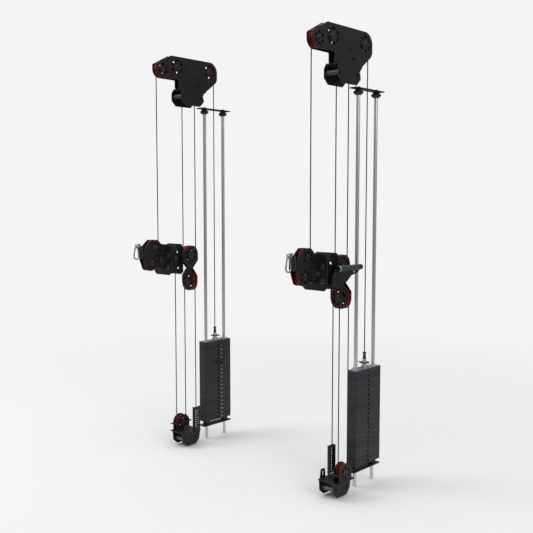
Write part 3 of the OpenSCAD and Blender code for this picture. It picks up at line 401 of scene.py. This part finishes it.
# Where the plates hold the pulleys: middle, radius to the cable's middle, direction of the axle,
# half the hub's width, half the width over the plates, and the body that the plates belong to
LARGE, SMALL = 49, 36.5
PULLEYS = {
    "nose_pulley": ((0, -331.5, 2258), SMALL, "x", 14.5, 20, "rack_frame"),
    "middle_pulley": ((0, -227, 2283), LARGE, "x", 14.5, 20, "rack_frame"),
    "rear_pulley": ((0, 27.2, 2283), LARGE, "x", 14.5, 20, "rack_frame"),
    "bottom_pulley": ((49, -165.5, 134), SMALL, "x", 14.5, 20, "rack_frame"),
    "arm_pulley_upper": ((0, -404.5, 1230), SMALL, "x", 14.5, 20, "swivel_arm"),
    "arm_pulley_lower": ((0, -426.5, 1140), SMALL, "x", 14.5, 20, "swivel_arm"),
    "float_pulley_upper": ((0, -129, 1174), LARGE, "x", 11.5, 16, "float"),
    "float_pulley_lower": ((0, -129, 1014), LARGE, "y", 11.5, 16, "float"),
}
# Half the width between the cheeks of the saddles and brackets, where their sleeves are, and over
# them, where bolt heads stand out
CHEEKS_INSIDE, CHEEKS_OUTSIDE = 41, 46.7
# Place of the arm's swivel pin, on whose axis the cable comes down, and a little over its radius
SWIVEL_BACK, SWIVEL_RADIUS = -368, 6.2


def axle_heads(*pulleys):
    """Test for the heads of some pulleys' axle bolts: the faces within 11 mm of an axle that lie
    outside the plates, seen along it from the pulley's middle."""
    def chosen(u, y, z):
        found = np.zeros(len(u), bool)
        for middle, _, axis, _, face, _ in (PULLEYS[pulley] for pulley in pulleys):
            away = np.stack([u, y, z]) - np.asarray(middle)[:, None]
            out = np.abs(away["xyz".index(axis)])
            away["xyz".index(axis)] = 0
            found |= (np.linalg.norm(away, axis=0) < 11) & (out > face + 0.2)
        return found
    return chosen


housing = softened("housing_plates", "top_housing_plates", coat, 0.8)
saddles = softened("top_saddles", "top_saddle_weldments", coat, 0.8)
# The sleeves between the saddles' cheeks take the darker plating, painted shade under the housing
repaint(saddles, shadowed, lambda u, y, z: (np.abs(u) < CHEEKS_INSIDE) & (z < 2140))
repaint(saddles, oxide, lambda u, y, z: np.abs(u) > CHEEKS_OUTSIDE)
brackets = softened("bottom_brackets", "bottom_bracket_weldments", coat, 0.5)
repaint(brackets, zinc, lambda u, y, z: (np.abs(u) < CHEEKS_INSIDE) & (z < 70))
repaint(brackets, oxide, lambda u, y, z: (
    (np.abs(u) > CHEEKS_OUTSIDE) & (z < 70)) | axle_heads("bottom_pulley")(u, y, z))
for tower in SIDES:
    trolley = softened(f"trolley_frame_{tower}", f"trolley_weldment_{tower}", coat, 0.5)
    repaint(trolley, zinc, lambda u, y, z: (
        np.hypot(u, y - SWIVEL_BACK) < SWIVEL_RADIUS) & (z > 1100) & (z < 1200))
    arm = softened(f"arm_frame_{tower}", f"swivel_arm_weldment_{tower}", coat, 0.7)
    repaint(arm, oxide, axle_heads("arm_pulley_upper", "arm_pulley_lower"))
    block = softened(f"float_frame_{tower}", f"floating_block_plates_{tower}", coat, 0.7)
    repaint(block, oxide, axle_heads("float_pulley_upper", "float_pulley_lower"))


BEAD_RADIUS = 2.6
# Both ends of each bead, along the edges where plates meet tubes and other plates
BEADS = {
    "rack_frame": [
        *[((u, -208, 2163), (u, -8, 2163)) for u in (-20.5, 20.5)],
        *[((u, -202, 2155), (u, -40, 2155)) for u in (-41, 41)],
        *[((u, -236, 85), (u, -95, 85)) for u in (-41, 41)],
        *[((u, -208, 91), (u, -124, 91)) for u in (28.5, 69.5)],
        ((-46.8, -222, 91), (-46.8, -185, 91)), ((-60, -150, 91), (-60, -108, 91)),
    ],
    "trolley": [
        *[((u, -331, 1080), (u, -331, 1235)) for u in (-47, 47)],
        *[((u, -249, 1095), (u, -249, 1140)) for u in (-47, 47)],
        *[((u, -243, 1092), (u, -243, 1130)) for u in (70.5, 77.5)],
    ],
}


def weld(start, stop):
    """Grid of a weld bead between two points in millimetres: a tube whose radius is
    BEAD_RADIUS (1 + 0.14 |sin(pi s / 4)|), with s the way along it, which gives a ripple every
    4 mm. Its ends draw in."""
    start, stop = np.asarray(start, float), np.asarray(stop, float)
    length = np.linalg.norm(stop - start)
    t = np.linspace(0, 1, int(length) + 2)
    ripple = BEAD_RADIUS * (1 + 0.14 * np.abs(np.sin(np.pi * length * t / 4)))
    ripple[[0, -1]] *= 0.6
    across = (0, 1, 0) if abs(stop[1] - start[1]) < abs(stop[2] - start[2]) else (1, 0, 0)
    return capped(along(start + (stop - start) * t[:, None], ripple, across, 8))


def body_of(part, tower):
    """A tower's body of that name; the rack frame is one body for both towers."""
    return part if part == "rack_frame" else f"{part}_{tower}"


for tower, side in SIDES.items():
    for part, lines in BEADS.items():
        grids = [on_tower(side, weld(*line)) for line in lines]
        beads = piece(f"weld_beads_{part}_{tower}", grids, coat, 60)
        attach(beads, body_of(part, tower))


# Axle bolts, spacers and guide bobbins of the top housings. They are turned from steel and screwed
# through both plates; what lies between the plates is zinc plated, and the heads are black.
hardware = softened("housing_hardware", "housing_bolts_and_spacers", oxide, 0.6)
repaint(hardware, zinc, lambda u, y, z: np.abs(u) < 15.2)


# Pulleys. Turned from aluminium bar, with six windows milled through the web and a groove for the
# cable, then anodised red. Each runs on a sealed ball bearing in its hub.
BEARING_RADIUS = {LARGE: 14.8, SMALL: 11.8}


def turned(profile, middle, axis, sides=32, scallop=None):
    """Grid of a profile of (radius, distance along the axis) pairs spun about an axis through the
    middle, in millimetres: (h, r cos a, r sin a) along x, and likewise along y or z. scallop(a)
    multiplies the radii."""
    profile = np.asarray(profile, float)
    a = np.linspace(0, 2 * np.pi, sides + 1)
    r = profile[:, :1] * (0 * a + 1 if scallop is None else scallop(a))[None, :]
    h = np.broadcast_to(profile[:, 1:], r.shape)
    order = {
        "x": (h, r * np.cos(a), r * np.sin(a)),
        "y": (r * np.sin(a), h, r * np.cos(a)),
        "z": (r * np.cos(a), r * np.sin(a), h),
    }[axis]
    return np.stack(order, -1) + np.asarray(middle, float)


def ring_of(profile, end, middle, axis):
    """Grid of a turned ring whose profile is closed on itself, on one side of its middle: end is 1,
    or -1 to mirror it along the axis."""
    return turned([(r, end * h) for r, h in profile + profile[:1]], middle, axis)


# Red anodised aluminium: a dyed metal surface that still shows the rings of the lathe tool, drawn
# 0.8 mm apart so that they show
red, tree, shader = new_material("red anodised turned aluminium", Metallic=0.75, Roughness=0.34)
from_axle = add(tree, "ShaderNodeAttribute", attribute_name="from_axle").outputs["Vector"]
radius = add(tree, "ShaderNodeVectorMath", {0: from_axle}, operation="LENGTH").outputs["Value"]
turns = add(tree, "ShaderNodeMath", {0: radius, 1: 2 * math.pi / 0.0008}, operation="MULTIPLY")
rings = add(tree, "ShaderNodeMath", {0: turns.outputs[0]}, operation="SINE")
tone = add(tree, "ShaderNodeTexNoise", {"Scale": 900.0, "W": radius}, noise_dimensions="1D")
colour = add(tree, "ShaderNodeMix", {
    0: tone.outputs["Fac"], 6: linear("#7a0807"), 7: linear("#a8140f")}, data_type="RGBA")
tree.links.new(colour.outputs[2], shader.inputs["Base Color"])
bump = add(tree, "ShaderNodeBump", {
    "Height": rings.outputs[0], "Distance": 0.00002, "Strength": 0.5})
tree.links.new(bump.outputs[0], shader.inputs["Normal"])

# Bearing steel: ground bright rings, with a faint haze in spots of 2 mm
bearing_steel, *_ = clouded(
    "ground bearing steel", "#a4a7a8", "#cfd1d1", 2, 2.0, Metallic=1.0, Roughness=0.22)

# Nitrile rubber: the moulded seal between a bearing's rings, matt and nearly black
seal_rubber, *_ = clouded(
    "moulded nitrile seal", "#121212", "#202022", 1, 2.0, Roughness=0.6, IOR=1.52)

for tower, side in SIDES.items():
    for pulley, (middle, pitch, axis, hub, _, _) in PULLEYS.items():
        body = f"{pulley}_{tower}"
        wheel = softened(body, f"{pulley}_wheel_{tower}", red, 0.5)
        points = np.empty(len(wheel.data.vertices) * 3, np.float32)
        wheel.data.vertices.foreach_get("co", points)
        across = points.reshape(-1, 3) - on_tower(side, middle)
        across[:, "xyz".index(axis)] = 0
        wheel.data.attributes.new("from_axle", "FLOAT_VECTOR", "POINT").data.foreach_set(
            "vector", across.astype(np.float32).ravel())
        outer, sunk = BEARING_RADIUS[pitch], hub - 1.0
        race = [(6.1, sunk), (6.1, hub + 0.3), (8.4, hub + 0.3), (8.6, hub + 0.05), (8.6, sunk)]
        rim = [(outer - 2.2, sunk), (outer - 2.2, hub + 0.05), (outer - 2.0, hub + 0.25),
               (outer - 0.2, hub + 0.25), (outer, hub + 0.05), (outer, sunk)]
        seal = [(8.5, sunk), (8.5, hub + 0.08), (outer - 2.1, hub + 0.08), (outer - 2.1, sunk)]
        for name, profiles, material in (
                ("rings", (race, rim), bearing_steel), ("seals", (seal,), seal_rubber)):
            made = piece(f"{pulley}_bearing_{name}_{tower}", [
                on_tower(side, ring_of(profile, end, middle, axis))
                for end in (-1, 1) for profile in profiles], material)
            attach(made, body)


# Washers under the axle bolts' heads. Stamped steel rings of 24 mm, zinc plated, one on each side
# of every pulley's plates.
for tower, side in SIDES.items():
    grids = {}
    for middle, _, axis, _, face, part in PULLEYS.values():
        profile = [(6.2, face - 0.2), (6.2, face + 1.5), (11.6, face + 1.5),
                   (12, face + 1.1), (12, face - 0.2)]
        for end in (-1, 1):
            washer = on_tower(side, ring_of(profile, end, middle, axis))
            grids.setdefault(part, []).append(washer)
    for part, rings in grids.items():
        washers = piece(f"axle_washers_{part}_{tower}", rings, zinc)
        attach(washers, body_of(part, tower))


# Cables. A steel rope of 5.5 mm with a black nylon coat, in which the six strands just show. The
# fixed stretches lie over the housings' pulleys and under the bottom pulleys; the straight runs are
# drawn as straight tubes in place.
CABLE_RADIUS = 2.75 / 1000
STEM_BACK = 76.2  # the stack's stem, and all its pin holes, stand this far back

# Extruded nylon over wound strands: satin black, and slightly paler along each strand. The strands'
# crests come every 8 mm along the cable.
cable_coat, tree, shader = new_material(
    "nylon-coated steel cable", Roughness=0.5, IOR=1.53, Specular_IOR_Level=0.25)
strand = strands(tree, 6, 0.008, "ADD")
tone = add(tree, "ShaderNodeMapRange", {"Value": strand, "From Min": -1.0})
colour = add(tree, "ShaderNodeMix", {
    0: tone.outputs[0], 6: linear("#070708"), 7: linear("#111112")}, data_type="RGBA")
tree.links.new(colour.outputs[2], shader.inputs["Base Color"])
bump = add(tree, "ShaderNodeBump", {"Height": strand, "Distance": 0.00025, "Strength": 0.7})
tree.links.new(bump.outputs[0], shader.inputs["Normal"])


def cable(side, path, across=(1, 0, 0)):
    """Grid of a stretch of cable on a path in millimetres on a tower: circles of the cable's radius
    along the path, closed at both ends."""
    return capped(along(on_tower(side, path), CABLE_RADIUS, across, 16))


def bend(middle, radius, start, stop, u=0):
    """Points of an arc in a tower's own side plane: (u, y + r cos a, z + r sin a), with a from
    start to stop in degrees."""
    a = np.radians(np.linspace(start, stop, max(8, int(abs(stop - start) / 5))))
    return np.stack([0 * a + u, middle[0] + radius * np.cos(a), middle[1] + radius * np.sin(a)], -1)


def belt(a, ra, b, rb):
    """Direction in degrees of the straight cable over two pulleys:
    atan2(b - a) + asin((rb - ra) / |b - a|)."""
    gap = np.subtract(b, a)
    return math.degrees(math.atan2(gap[1], gap[0]) + math.asin((rb - ra) / np.hypot(*gap)))


def run(start, stop):
    """Points 12 mm apart on a straight line: start + (stop - start) t, t from 0 to 1."""
    start, stop = np.asarray(start, float), np.asarray(stop, float)
    t = np.linspace(0, 1, int(np.linalg.norm(stop - start) / 12) + 2)[:, None]
    return start + (stop - start) * t


nose, middle, rear, bottom = (
    PULLEYS[f"{place}_pulley"][0] for place in ("nose", "middle", "rear", "bottom"))
bobbin, BOBBIN_RADIUS = (-60, 2200), 20
front_way = belt(nose[1:], SMALL, middle[1:], LARGE) + 90
rear_way = belt(bobbin, BOBBIN_RADIUS, rear[1:], LARGE) + 90
FIXED = [
    np.concatenate([
        bend(nose[1:], SMALL, 180, front_way), bend(middle[1:], LARGE, front_way, 0)]),
    np.concatenate([
        bend(bobbin, BOBBIN_RADIUS, 180, rear_way), bend(rear[1:], LARGE, rear_way, 0)]),
    bend(bottom[1:], SMALL, 180, 360, bottom[0]),
]
fixed = piece("cable_over_fixed_pulleys", [
    cable(side, path) for side in SIDES.values() for path in FIXED], cable_coat)
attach(fixed, "rack_frame")
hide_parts("fixed_cables")

# Body at the moving end, the lines, and the heights where the stretching starts and ends
RUNS = {
    "front_run": ("trolley", [
        ((0, SWIVEL_BACK, 2258), (0, SWIVEL_BACK, 1230))], 2258, 1230),
    "float_upper_runs": ("float", [
        ((0, -178, 2283), (0, -178, 1174)), ((0, -80, 2200), (0, -80, 1174))], 2200, 1174),
    "float_lower_runs": ("float", [
        ((49, -129, 134), (49, -129, 1014)), ((-49, -129, 235), (-49, -129, 1014))], 235, 1014),
    "tail_run": ("trolley", [((49, -202, 134), (49, -202, 1081))], 134, 1081),
    "stack_run": ("lifted_stack", [((0, STEM_BACK, 2283), (0, STEM_BACK, 705.9))], 2283, 705.9),
}
# Half turns round the floating block: under its upper pulley, and across over its lower one
upper, lower = (PULLEYS[f"float_pulley_{place}"][0] for place in ("upper", "lower"))
a = np.radians(np.linspace(0, 180, 37))
crossing = np.stack([LARGE * np.cos(a), 0 * a + lower[1], lower[2] + LARGE * np.sin(a)], -1)
for tower, side in SIDES.items():
    for node, (part, lines, fixed_z, moving_z) in RUNS.items():
        made = piece(
            f"cable_{node}_{tower}", [cable(side, run(*line)) for line in lines], cable_coat)
        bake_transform(made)
        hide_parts(f"{node}_{tower}")
    wraps = piece(f"cable_round_floating_pulleys_{tower}", [
        cable(side, bend(upper[1:], LARGE, 180, 360)),
        cable(side, crossing, (0, 1, 0))], cable_coat)
    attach(wraps, f"float_{tower}")
    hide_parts(f"float_cable_{tower}")


# Guide rods. Cold-drawn steel bar of 19 mm, ground and hard chromed, so that the stack slides on
# it. Two stand in each tower, 152.4 mm apart.
RODS_BACK = (0, 152.4)

# Hard chrome on ground steel: bright, with grinding lines round the rod, 0.4 mm apart, and long
# soft streaks along it, 2.5 mm wide
chrome, tree, shader = new_material("ground and chromed steel rod", Metallic=1.0)
spot = add(tree, "ShaderNodeTexCoord").outputs["Object"]
fine, streak = (
    add(tree, "ShaderNodeTexNoise", {
        "Vector": add(tree, "ShaderNodeMapping", {"Vector": spot, "Scale": scale}).outputs[0],
        "Scale": 1.0, "Detail": 2.0})
    for scale in ((30, 30, 2500), (400, 400, 3)))
colour = add(tree, "ShaderNodeMix", {
    0: streak.outputs["Fac"], 6: linear("#c3c6c5"), 7: linear("#d8dad9")}, data_type="RGBA")
tree.links.new(colour.outputs[2], shader.inputs["Base Color"])
gloss = add(tree, "ShaderNodeMapRange", {
    "Value": fine.outputs["Fac"], "To Min": 0.26, "To Max": 0.36})
tree.links.new(gloss.outputs[0], shader.inputs["Roughness"])

rod = [(0, 0), (8.3, 0), (9.5, 1.2), (9.5, 2058.8), (8.3, 2060), (0, 2060)]
rods = piece("guide_rods_ground", [
    on_tower(side, turned(rod, (0, y, 0), "z", 48))
    for side in SIDES.values() for y in RODS_BACK], chrome)
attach(rods, "rack_frame")
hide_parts("guide_rods")


# Rod top bars, clamping collars, base plates and bumpers. Bars and collars are coated steel, with a
# nut and a washer on each rod; the bumpers are moulded rubber rings under the lowest weight plate.

# Moulded rubber: dull black, with a greyish bloom in patches of 10 mm and fine pores
rubber, tree, shader, spot, _ = clouded(
    "moulded black rubber", "#0e0e0f", "#1d1d1f", 10, 5.0, Roughness=0.7, IOR=1.52)
pores = add(tree, "ShaderNodeTexNoise", {"Vector": spot, "Scale": 1000 / 0.7, "Detail": 1.0})
bump = add(tree, "ShaderNodeBump", {
    "Height": pores.outputs["Fac"], "Distance": 0.00005, "Strength": 0.5})
tree.links.new(bump.outputs[0], shader.inputs["Normal"])

bars = softened("rod_bars", "rod_bars_and_collars", coat, 0.8)
repaint(bars, rubber, lambda u, y, z: (z > 92.6) & (z < 120))
hexagon = [(0, 2066), (10.2, 2066), (11.5, 2066.7), (11.5, 2071), (10.4, 2071.8), (0, 2071.8)]
washer = [(0, 2066), (13.5, 2066), (14, 2066.3), (14, 2067), (13.5, 2067.5), (0, 2067.5)]
nuts = piece("rod_nuts_and_washers", [
    on_tower(side, turned(profile, (0, y, 0), "z", sides))
    for side in SIDES.values() for y in RODS_BACK
    for profile, sides in ((hexagon, 6), (washer, 32))], oxide, 25)
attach(nuts, "rack_frame")


# Weight stacks. Plates cut from 25 mm steel bar with ground faces and coated charcoal; the top
# plate has two nylon bushings on the rods. Numbers are printed beside the pin holes on the inner
# side, from 10 on the top plate to 200 on the lowest.
# Plates of a stack from underside to underside, all of them, and those that the pin lifts
PLATE_PITCH, PLATES, PICKED = 25.4, 20, 6
STACK_FOOT = 115.3  # height of the lowest plate's underside
# Heights of the top plate: just over its underside, its pin hole, and just under its upper face
TOP_PLATE, TOP_HOLE, TOP_FACE = 598, 610.6, 622.6

# Textured powder coat: charcoal, with a fine grit of 1 mm, and each plate a little lighter or
# darker than its neighbours. The change lies in the gap just under a plate.
plate_coat, tree, shader = new_material(
    "charcoal textured powder coat", Roughness=0.6, IOR=1.5, Specular_IOR_Level=0.42)
spot = add(tree, "ShaderNodeTexCoord").outputs["Object"]
level = add(tree, "ShaderNodeSeparateXYZ", {0: spot})
raised = add(tree, "ShaderNodeMath", {
    0: level.outputs["Z"], 1: (STACK_FOOT - 0.2) / 1000}, operation="SUBTRACT")
count = add(tree, "ShaderNodeMath", {
    0: raised.outputs[0], 1: PLATE_PITCH / 1000}, operation="DIVIDE")
step = add(tree, "ShaderNodeMath", {0: count.outputs[0]}, operation="FLOOR")
chance = add(tree, "ShaderNodeTexWhiteNoise", {"W": step.outputs[0]}, noise_dimensions="1D")
colour = add(tree, "ShaderNodeMix", {
    0: chance.outputs["Value"], 6: linear("#1b1b20"), 7: linear("#26262c")}, data_type="RGBA")
tree.links.new(colour.outputs[2], shader.inputs["Base Color"])
grit = add(tree, "ShaderNodeTexNoise", {"Vector": spot, "Scale": 1000 / 1.0, "Detail": 2.0})
bump = add(tree, "ShaderNodeBump", {
    "Height": grit.outputs["Fac"], "Distance": 0.00012, "Strength": 0.6})
tree.links.new(bump.outputs[0], shader.inputs["Normal"])

# Moulded nylon: off-white bushings with a soft sheen, greyed by the rods in patches of 4 mm
nylon, *_ = clouded(
    "moulded white nylon", "#a5a5a2", "#bdbdb9", 4, 3.0, Roughness=0.45, IOR=1.53)

# Satin top face of the top plate, smoother than the coat of the plates' edges. Its lighter
# violet-grey colour is a painted sheen, for the light that face catches at a grazing angle.
top_sheen, *_ = clouded(
    "grey top plate with painted sheen", "#4b4c56", "#62636f", 20, 3.0, Roughness=0.35, IOR=1.5)

# Drilled steel inside the pin holes, bare, and coloured near black as painted shade of the deep,
# narrow bores
shaded, *_ = clouded(
    "dark drilled steel", "#040404", "#0c0c0d", 1.5, 2.0, Metallic=0.6, Roughness=0.55)


def in_pin_hole(u, y, z):
    """Test for the bores that take the selector pin: the faces within 6 mm of a bore's axis, inside
    the plates' sides and outside the stem's hole. A bore lies half a pitch above each plate's
    underside."""
    above = (z - STACK_FOOT) % PLATE_PITCH - PLATE_PITCH / 2
    return (np.abs(u) < 29.7) & (np.abs(u) > 13) & (np.hypot(y - STEM_BACK, above) < 6)


resting = softened("resting_plates", "resting_weight_plates", plate_coat, 0.6)
# The pin holes' bores are coloured near black: painted shade
repaint(resting, shaded, in_pin_hole)
for tower in SIDES:
    lifted = softened(f"lifted_plates_{tower}", f"lifted_weight_plates_{tower}", plate_coat, 0.6)
    # The pin holes' bores are coloured near black: painted shade
    repaint(lifted, shaded, in_pin_hole)
    repaint(lifted, zinc, lambda u, y, z: in_pin_hole(u, y, z) & (z > TOP_PLATE))
    # The top face takes the lighter grey of the painted sheen
    repaint(lifted, top_sheen, lambda u, y, z: z > TOP_FACE)
    for back in RODS_BACK:
        repaint(lifted, nylon, lambda u, y, z: (np.hypot(u, y - back) < 14.6) & (z > TOP_PLATE))
    stem = softened(f"stack_stem_{tower}", f"selector_stem_{tower}", bright, 0.3)
    repaint(stem, zinc, lambda u, y, z: z < TOP_FACE - 0.1)
    # The lanyard's ring and the sleeve on the cable's end are rubber
    repaint(stem, rubber, lambda u, y, z: (z > 648.6) & ((z < 655.5) | (z > 670)))
    pin = softened(f"selector_pin_{tower}", f"selector_pin_turned_{tower}", zinc, 0.4)
    repaint(pin, rubber, lambda u, y, z: u < -41.9)

# Screen-printing ink: matt light grey, slightly thinner in places
ink, *_ = clouded("screen-printed grey ink", "#9c9da0", "#c6c7ca", 2, 2.0, Roughness=0.7, IOR=1.5)
TYPE_SIZE, INK_THICKNESS = 12.5 / 1000, 0.04 / 1000
PRINT_OUT, PRINT_BACK = -30.05, 106


def printed(levels, side, name):
    """Numbers printed beside the pin holes, with digits 9 mm high, on the plates' inner faces. A
    point x, y, h of a number's text goes to (PRINT_OUT - h, PRINT_BACK - side x, z + y): as the
    faces look inwards, the lines read towards +Y on the left tower and towards -Y on the right."""
    points, faces, start = [], [], 0
    for value, z in levels:
        text = bpy.data.curves.new("number", "FONT")
        text.body, text.size, text.extrude = str(value), TYPE_SIZE, INK_THICKNESS
        text.align_x, text.align_y, text.resolution_u = "CENTER", "CENTER", 4
        sign = bpy.data.objects.new("number", text)
        mesh = bpy.data.meshes.new_from_object(sign)
        flat = np.empty(len(mesh.vertices) * 3, np.float32)
        mesh.vertices.foreach_get("co", flat)
        x, y, h = flat.reshape(-1, 3).T * 1000
        points.append(on_tower(side, np.stack([PRINT_OUT - h, PRINT_BACK - side * x, z + y], -1)))
        loops, firsts = np.empty(len(mesh.loops), np.int32), np.empty(len(mesh.polygons), np.int32)
        mesh.loops.foreach_get("vertex_index", loops)
        mesh.polygons.foreach_get("loop_start", firsts)
        faces += [face.tolist() for face in np.split(loops + start, firsts[1:])]
        start += len(mesh.vertices)
        bpy.data.objects.remove(sign)
        bpy.data.meshes.remove(mesh)
    mesh = bpy.data.meshes.new(name)
    mesh.from_pydata(np.concatenate(points).tolist(), [], faces)
    mesh.materials.append(ink)
    made = bpy.data.objects.new(name, mesh)
    bpy.context.scene.collection.objects.link(made)
    return made


# Each pin hole's edge is countersunk to 14 mm on both sides of its plate and coloured near black
# as painted shade of the bore, apart from the top plate's, which is plated inside
COUNTERSINK = [(5.6, 29.9), (5.6, 30.03), (6.9, 30.03), (7, 29.9)]
levels = [(10 * (i + 1), TOP_HOLE - PLATE_PITCH * i) for i in range(PLATES)]
for tower, side in SIDES.items():
    for part, body, chosen in (
            ("lifted", f"lifted_stack_{tower}", levels[:PICKED]),
            ("resting", "rack_frame", levels[PICKED:])):
        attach(printed(chosen, side, f"numbers_{part}_{tower}"), body)
        edges = piece(f"pin_hole_edges_{part}_{tower}", [
            on_tower(side, turned([(r, end * h) for r, h in COUNTERSINK], (0, STEM_BACK, z), "x"))
            for _, z in chosen if z < TOP_HOLE for end in (-1, 1)], shaded)
        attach(edges, body)


# Trolley fittings. Moulded slide pads, the sprung locking pin and the grip in its rubber sleeve,
# which a plated collar closes at the trolley's end. The pins' knobs have ribbed rims.
GRIP_OUT, GRIP_UP, GRIP_ENDS = 74, 1170, (-238, -84)
GRIP_RADIUS, END_RADIUS, DIAMOND_HEIGHT = 14.1, 13.6, 0.45
# A point on each pin's axis, and the profiles of the collar and the knobs' rims along their axes
LOCK_PIN, SELECTOR_PIN = (0, -290, 1163), (0, STEM_BACK, 483.6)
COLLAR = [(13.9, -243), (15.2, -242.6), (15.6, -241.8), (15.6, -239), (15, -238.2), (13.9, -238)]
LOCK_RIM = [(14.2, -57.6), (15.2, -59), (15.4, -62.5), (15.2, -66), (14.2, -67.6)]
SELECTOR_RIM = [(10.2, -66), (11.8, -74), (13.3, -81.5), (12.6, -86.5), (11, -88.5)]

# Knurled rubber: grey, with a bloom in patches of 6 mm
grip_rubber, *_ = clouded(
    "knurled grey grip rubber", "#1d1e22", "#303238", 6, 5.0, Roughness=0.55, IOR=1.52)
for tower, side in SIDES.items():
    pads = softened(f"trolley_pads_{tower}", f"trolley_slide_pads_{tower}", rubber, 0.5)
    lock = softened(f"lock_pin_{tower}", f"lock_pin_and_knob_{tower}", zinc, 0.5)
    repaint(lock, rubber, lambda u, y, z: u < -56.9)
    # The knurling's diamonds are (1 + cos(12 a + pi y / 5)) (1 + cos(12 a - pi y / 5)) / 4 high:
    # twelve in a ring, and a ring every 5 mm, turned by half a step from the last
    a, y = np.meshgrid(np.linspace(0, 2 * np.pi, 97), np.linspace(*GRIP_ENDS, 155))
    diamond = (1 + np.cos(12 * a + y * np.pi / 5)) * (1 + np.cos(12 * a - y * np.pi / 5)) / 4
    radius = GRIP_RADIUS + DIAMOND_HEIGHT * diamond
    radius[[0, -1]] = END_RADIUS
    sleeve = piece(f"grip_sleeve_{tower}", [on_tower(side, np.stack([
        GRIP_OUT + radius * np.cos(a), y, GRIP_UP + radius * np.sin(a)], -1))], grip_rubber)
    collar = piece(f"grip_collar_{tower}", [
        on_tower(side, ring_of(COLLAR, 1, (GRIP_OUT, 0, GRIP_UP), "y"))], bright)
    lock_ribs = piece(f"lock_knob_ribs_{tower}", [on_tower(side, turned(
        LOCK_RIM, LOCK_PIN, "x", 144, lambda a: 1 + 0.016 * np.cos(24 * a)))], rubber)
    selector_ribs = piece(f"selector_knob_ribs_{tower}", [on_tower(side, turned(
        SELECTOR_RIM, SELECTOR_PIN, "x", 144, lambda a: 1 + 0.02 * np.cos(18 * a)))], rubber)
    for made, body, slot in (
            (sleeve, "trolley", "pad_plastic"), (collar, "trolley", "zinc_steel"),
            (lock_ribs, "lock_pin", "pad_plastic"), (selector_ribs, "selector_pin", "pad_plastic")):
        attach(made, f"{body}_{tower}")


# Screws of the slide pads. Socket heads sink in the holes of the trolley's side plates, with a
# plated dished washer round each of the two lower ones. Five more hold the pad behind the front
# plate, on flat washers.
SIDE_SCREWS = [(0, -315.5, z) for z in (1113, 1183, 1213)]
SOCKET = [(0, 44.2), (2.9, 44.2), (2.9, 45.6), (4.3, 45.6), (4.8, 45.1), (4.8, 42), (0, 42)]
DISH = [(5.3, 46.4), (5.5, 46.9), (7.4, 47.7), (8, 47.4), (8, 46.4)]
# Outwards, up and the washer's radius
FRONT_SCREWS = [(u, z, 12) for u in (-48.5, 48.5) for z in (1112.5, 1183.3)] + [(21, 1149, 9.5)]
for tower, side in SIDES.items():
    heads, dishes, flats = [], [], []
    for place in SIDE_SCREWS:
        for end in (-1, 1):
            socket = [(r, end * h) for r, h in SOCKET]
            heads.append(on_tower(side, turned(socket, place, "x", 24)))
            if place != SIDE_SCREWS[-1]:
                dishes.append(on_tower(side, ring_of(DISH, end, place, "x")))
    for u, z, rim in FRONT_SCREWS:
        flat = [(rim - 5, -336.4), (rim - 5, -337.9), (rim - 1, -337.9), (rim, -337), (rim, -336.4)]
        flats.append(on_tower(side, ring_of(flat, 1, (u, 0, z), "y")))
        head = rim - 4.6
        socket = [(0, -337.5), (0.5 * head, -337.5), (0.5 * head, -339.6), (0.85 * head, -339.6),
                  (head, -338.8), (head, -336.6), (0, -336.6)]
        heads.append(on_tower(side, turned(socket, (u, 0, z), "y", 24)))
    for name, grids, material in (
            ("pad_screw_heads", heads, oxide), ("pad_screw_washers", dishes, bright),
            ("front_screw_washers", flats, zinc)):
        made = piece(f"{name}_{tower}", grids, material)
        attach(made, f"trolley_{tower}")


# Cable ends. The cable leaves the upper arm pulley through a rubber stop, which carries a plated
# eye; a pear-shaped snap hook with a sprung gate hangs in the eye.
leaving = np.concatenate([
    bend(PULLEYS["arm_pulley_upper"][0][1:], SMALL, 360, 270),
    run((0, -416, 1193.5), (0, -482, 1193.5))])
for tower, side in SIDES.items():
    out = piece(f"cable_out_of_arm_{tower}", [cable(side, leaving)], cable_coat)
    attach(out, f"swivel_arm_{tower}")
    end = softened(f"cable_end_{tower}", f"cable_stop_and_eye_{tower}", rubber, 0.5)
    repaint(end, wire, lambda u, y, z: y < -500.4)
    hook = softened(f"carabiner_{tower}", f"carabiner_bow_{tower}", wire, 0.3)
    gate = softened(f"carabiner_gate_{tower}", f"carabiner_gate_bar_{tower}", wire, 0.3)
    for made in (hook, gate):
        # Their wire is thin, so the rounding may not run past the next edge
        made.modifiers["rounded edges"].use_clamp_overlap = True
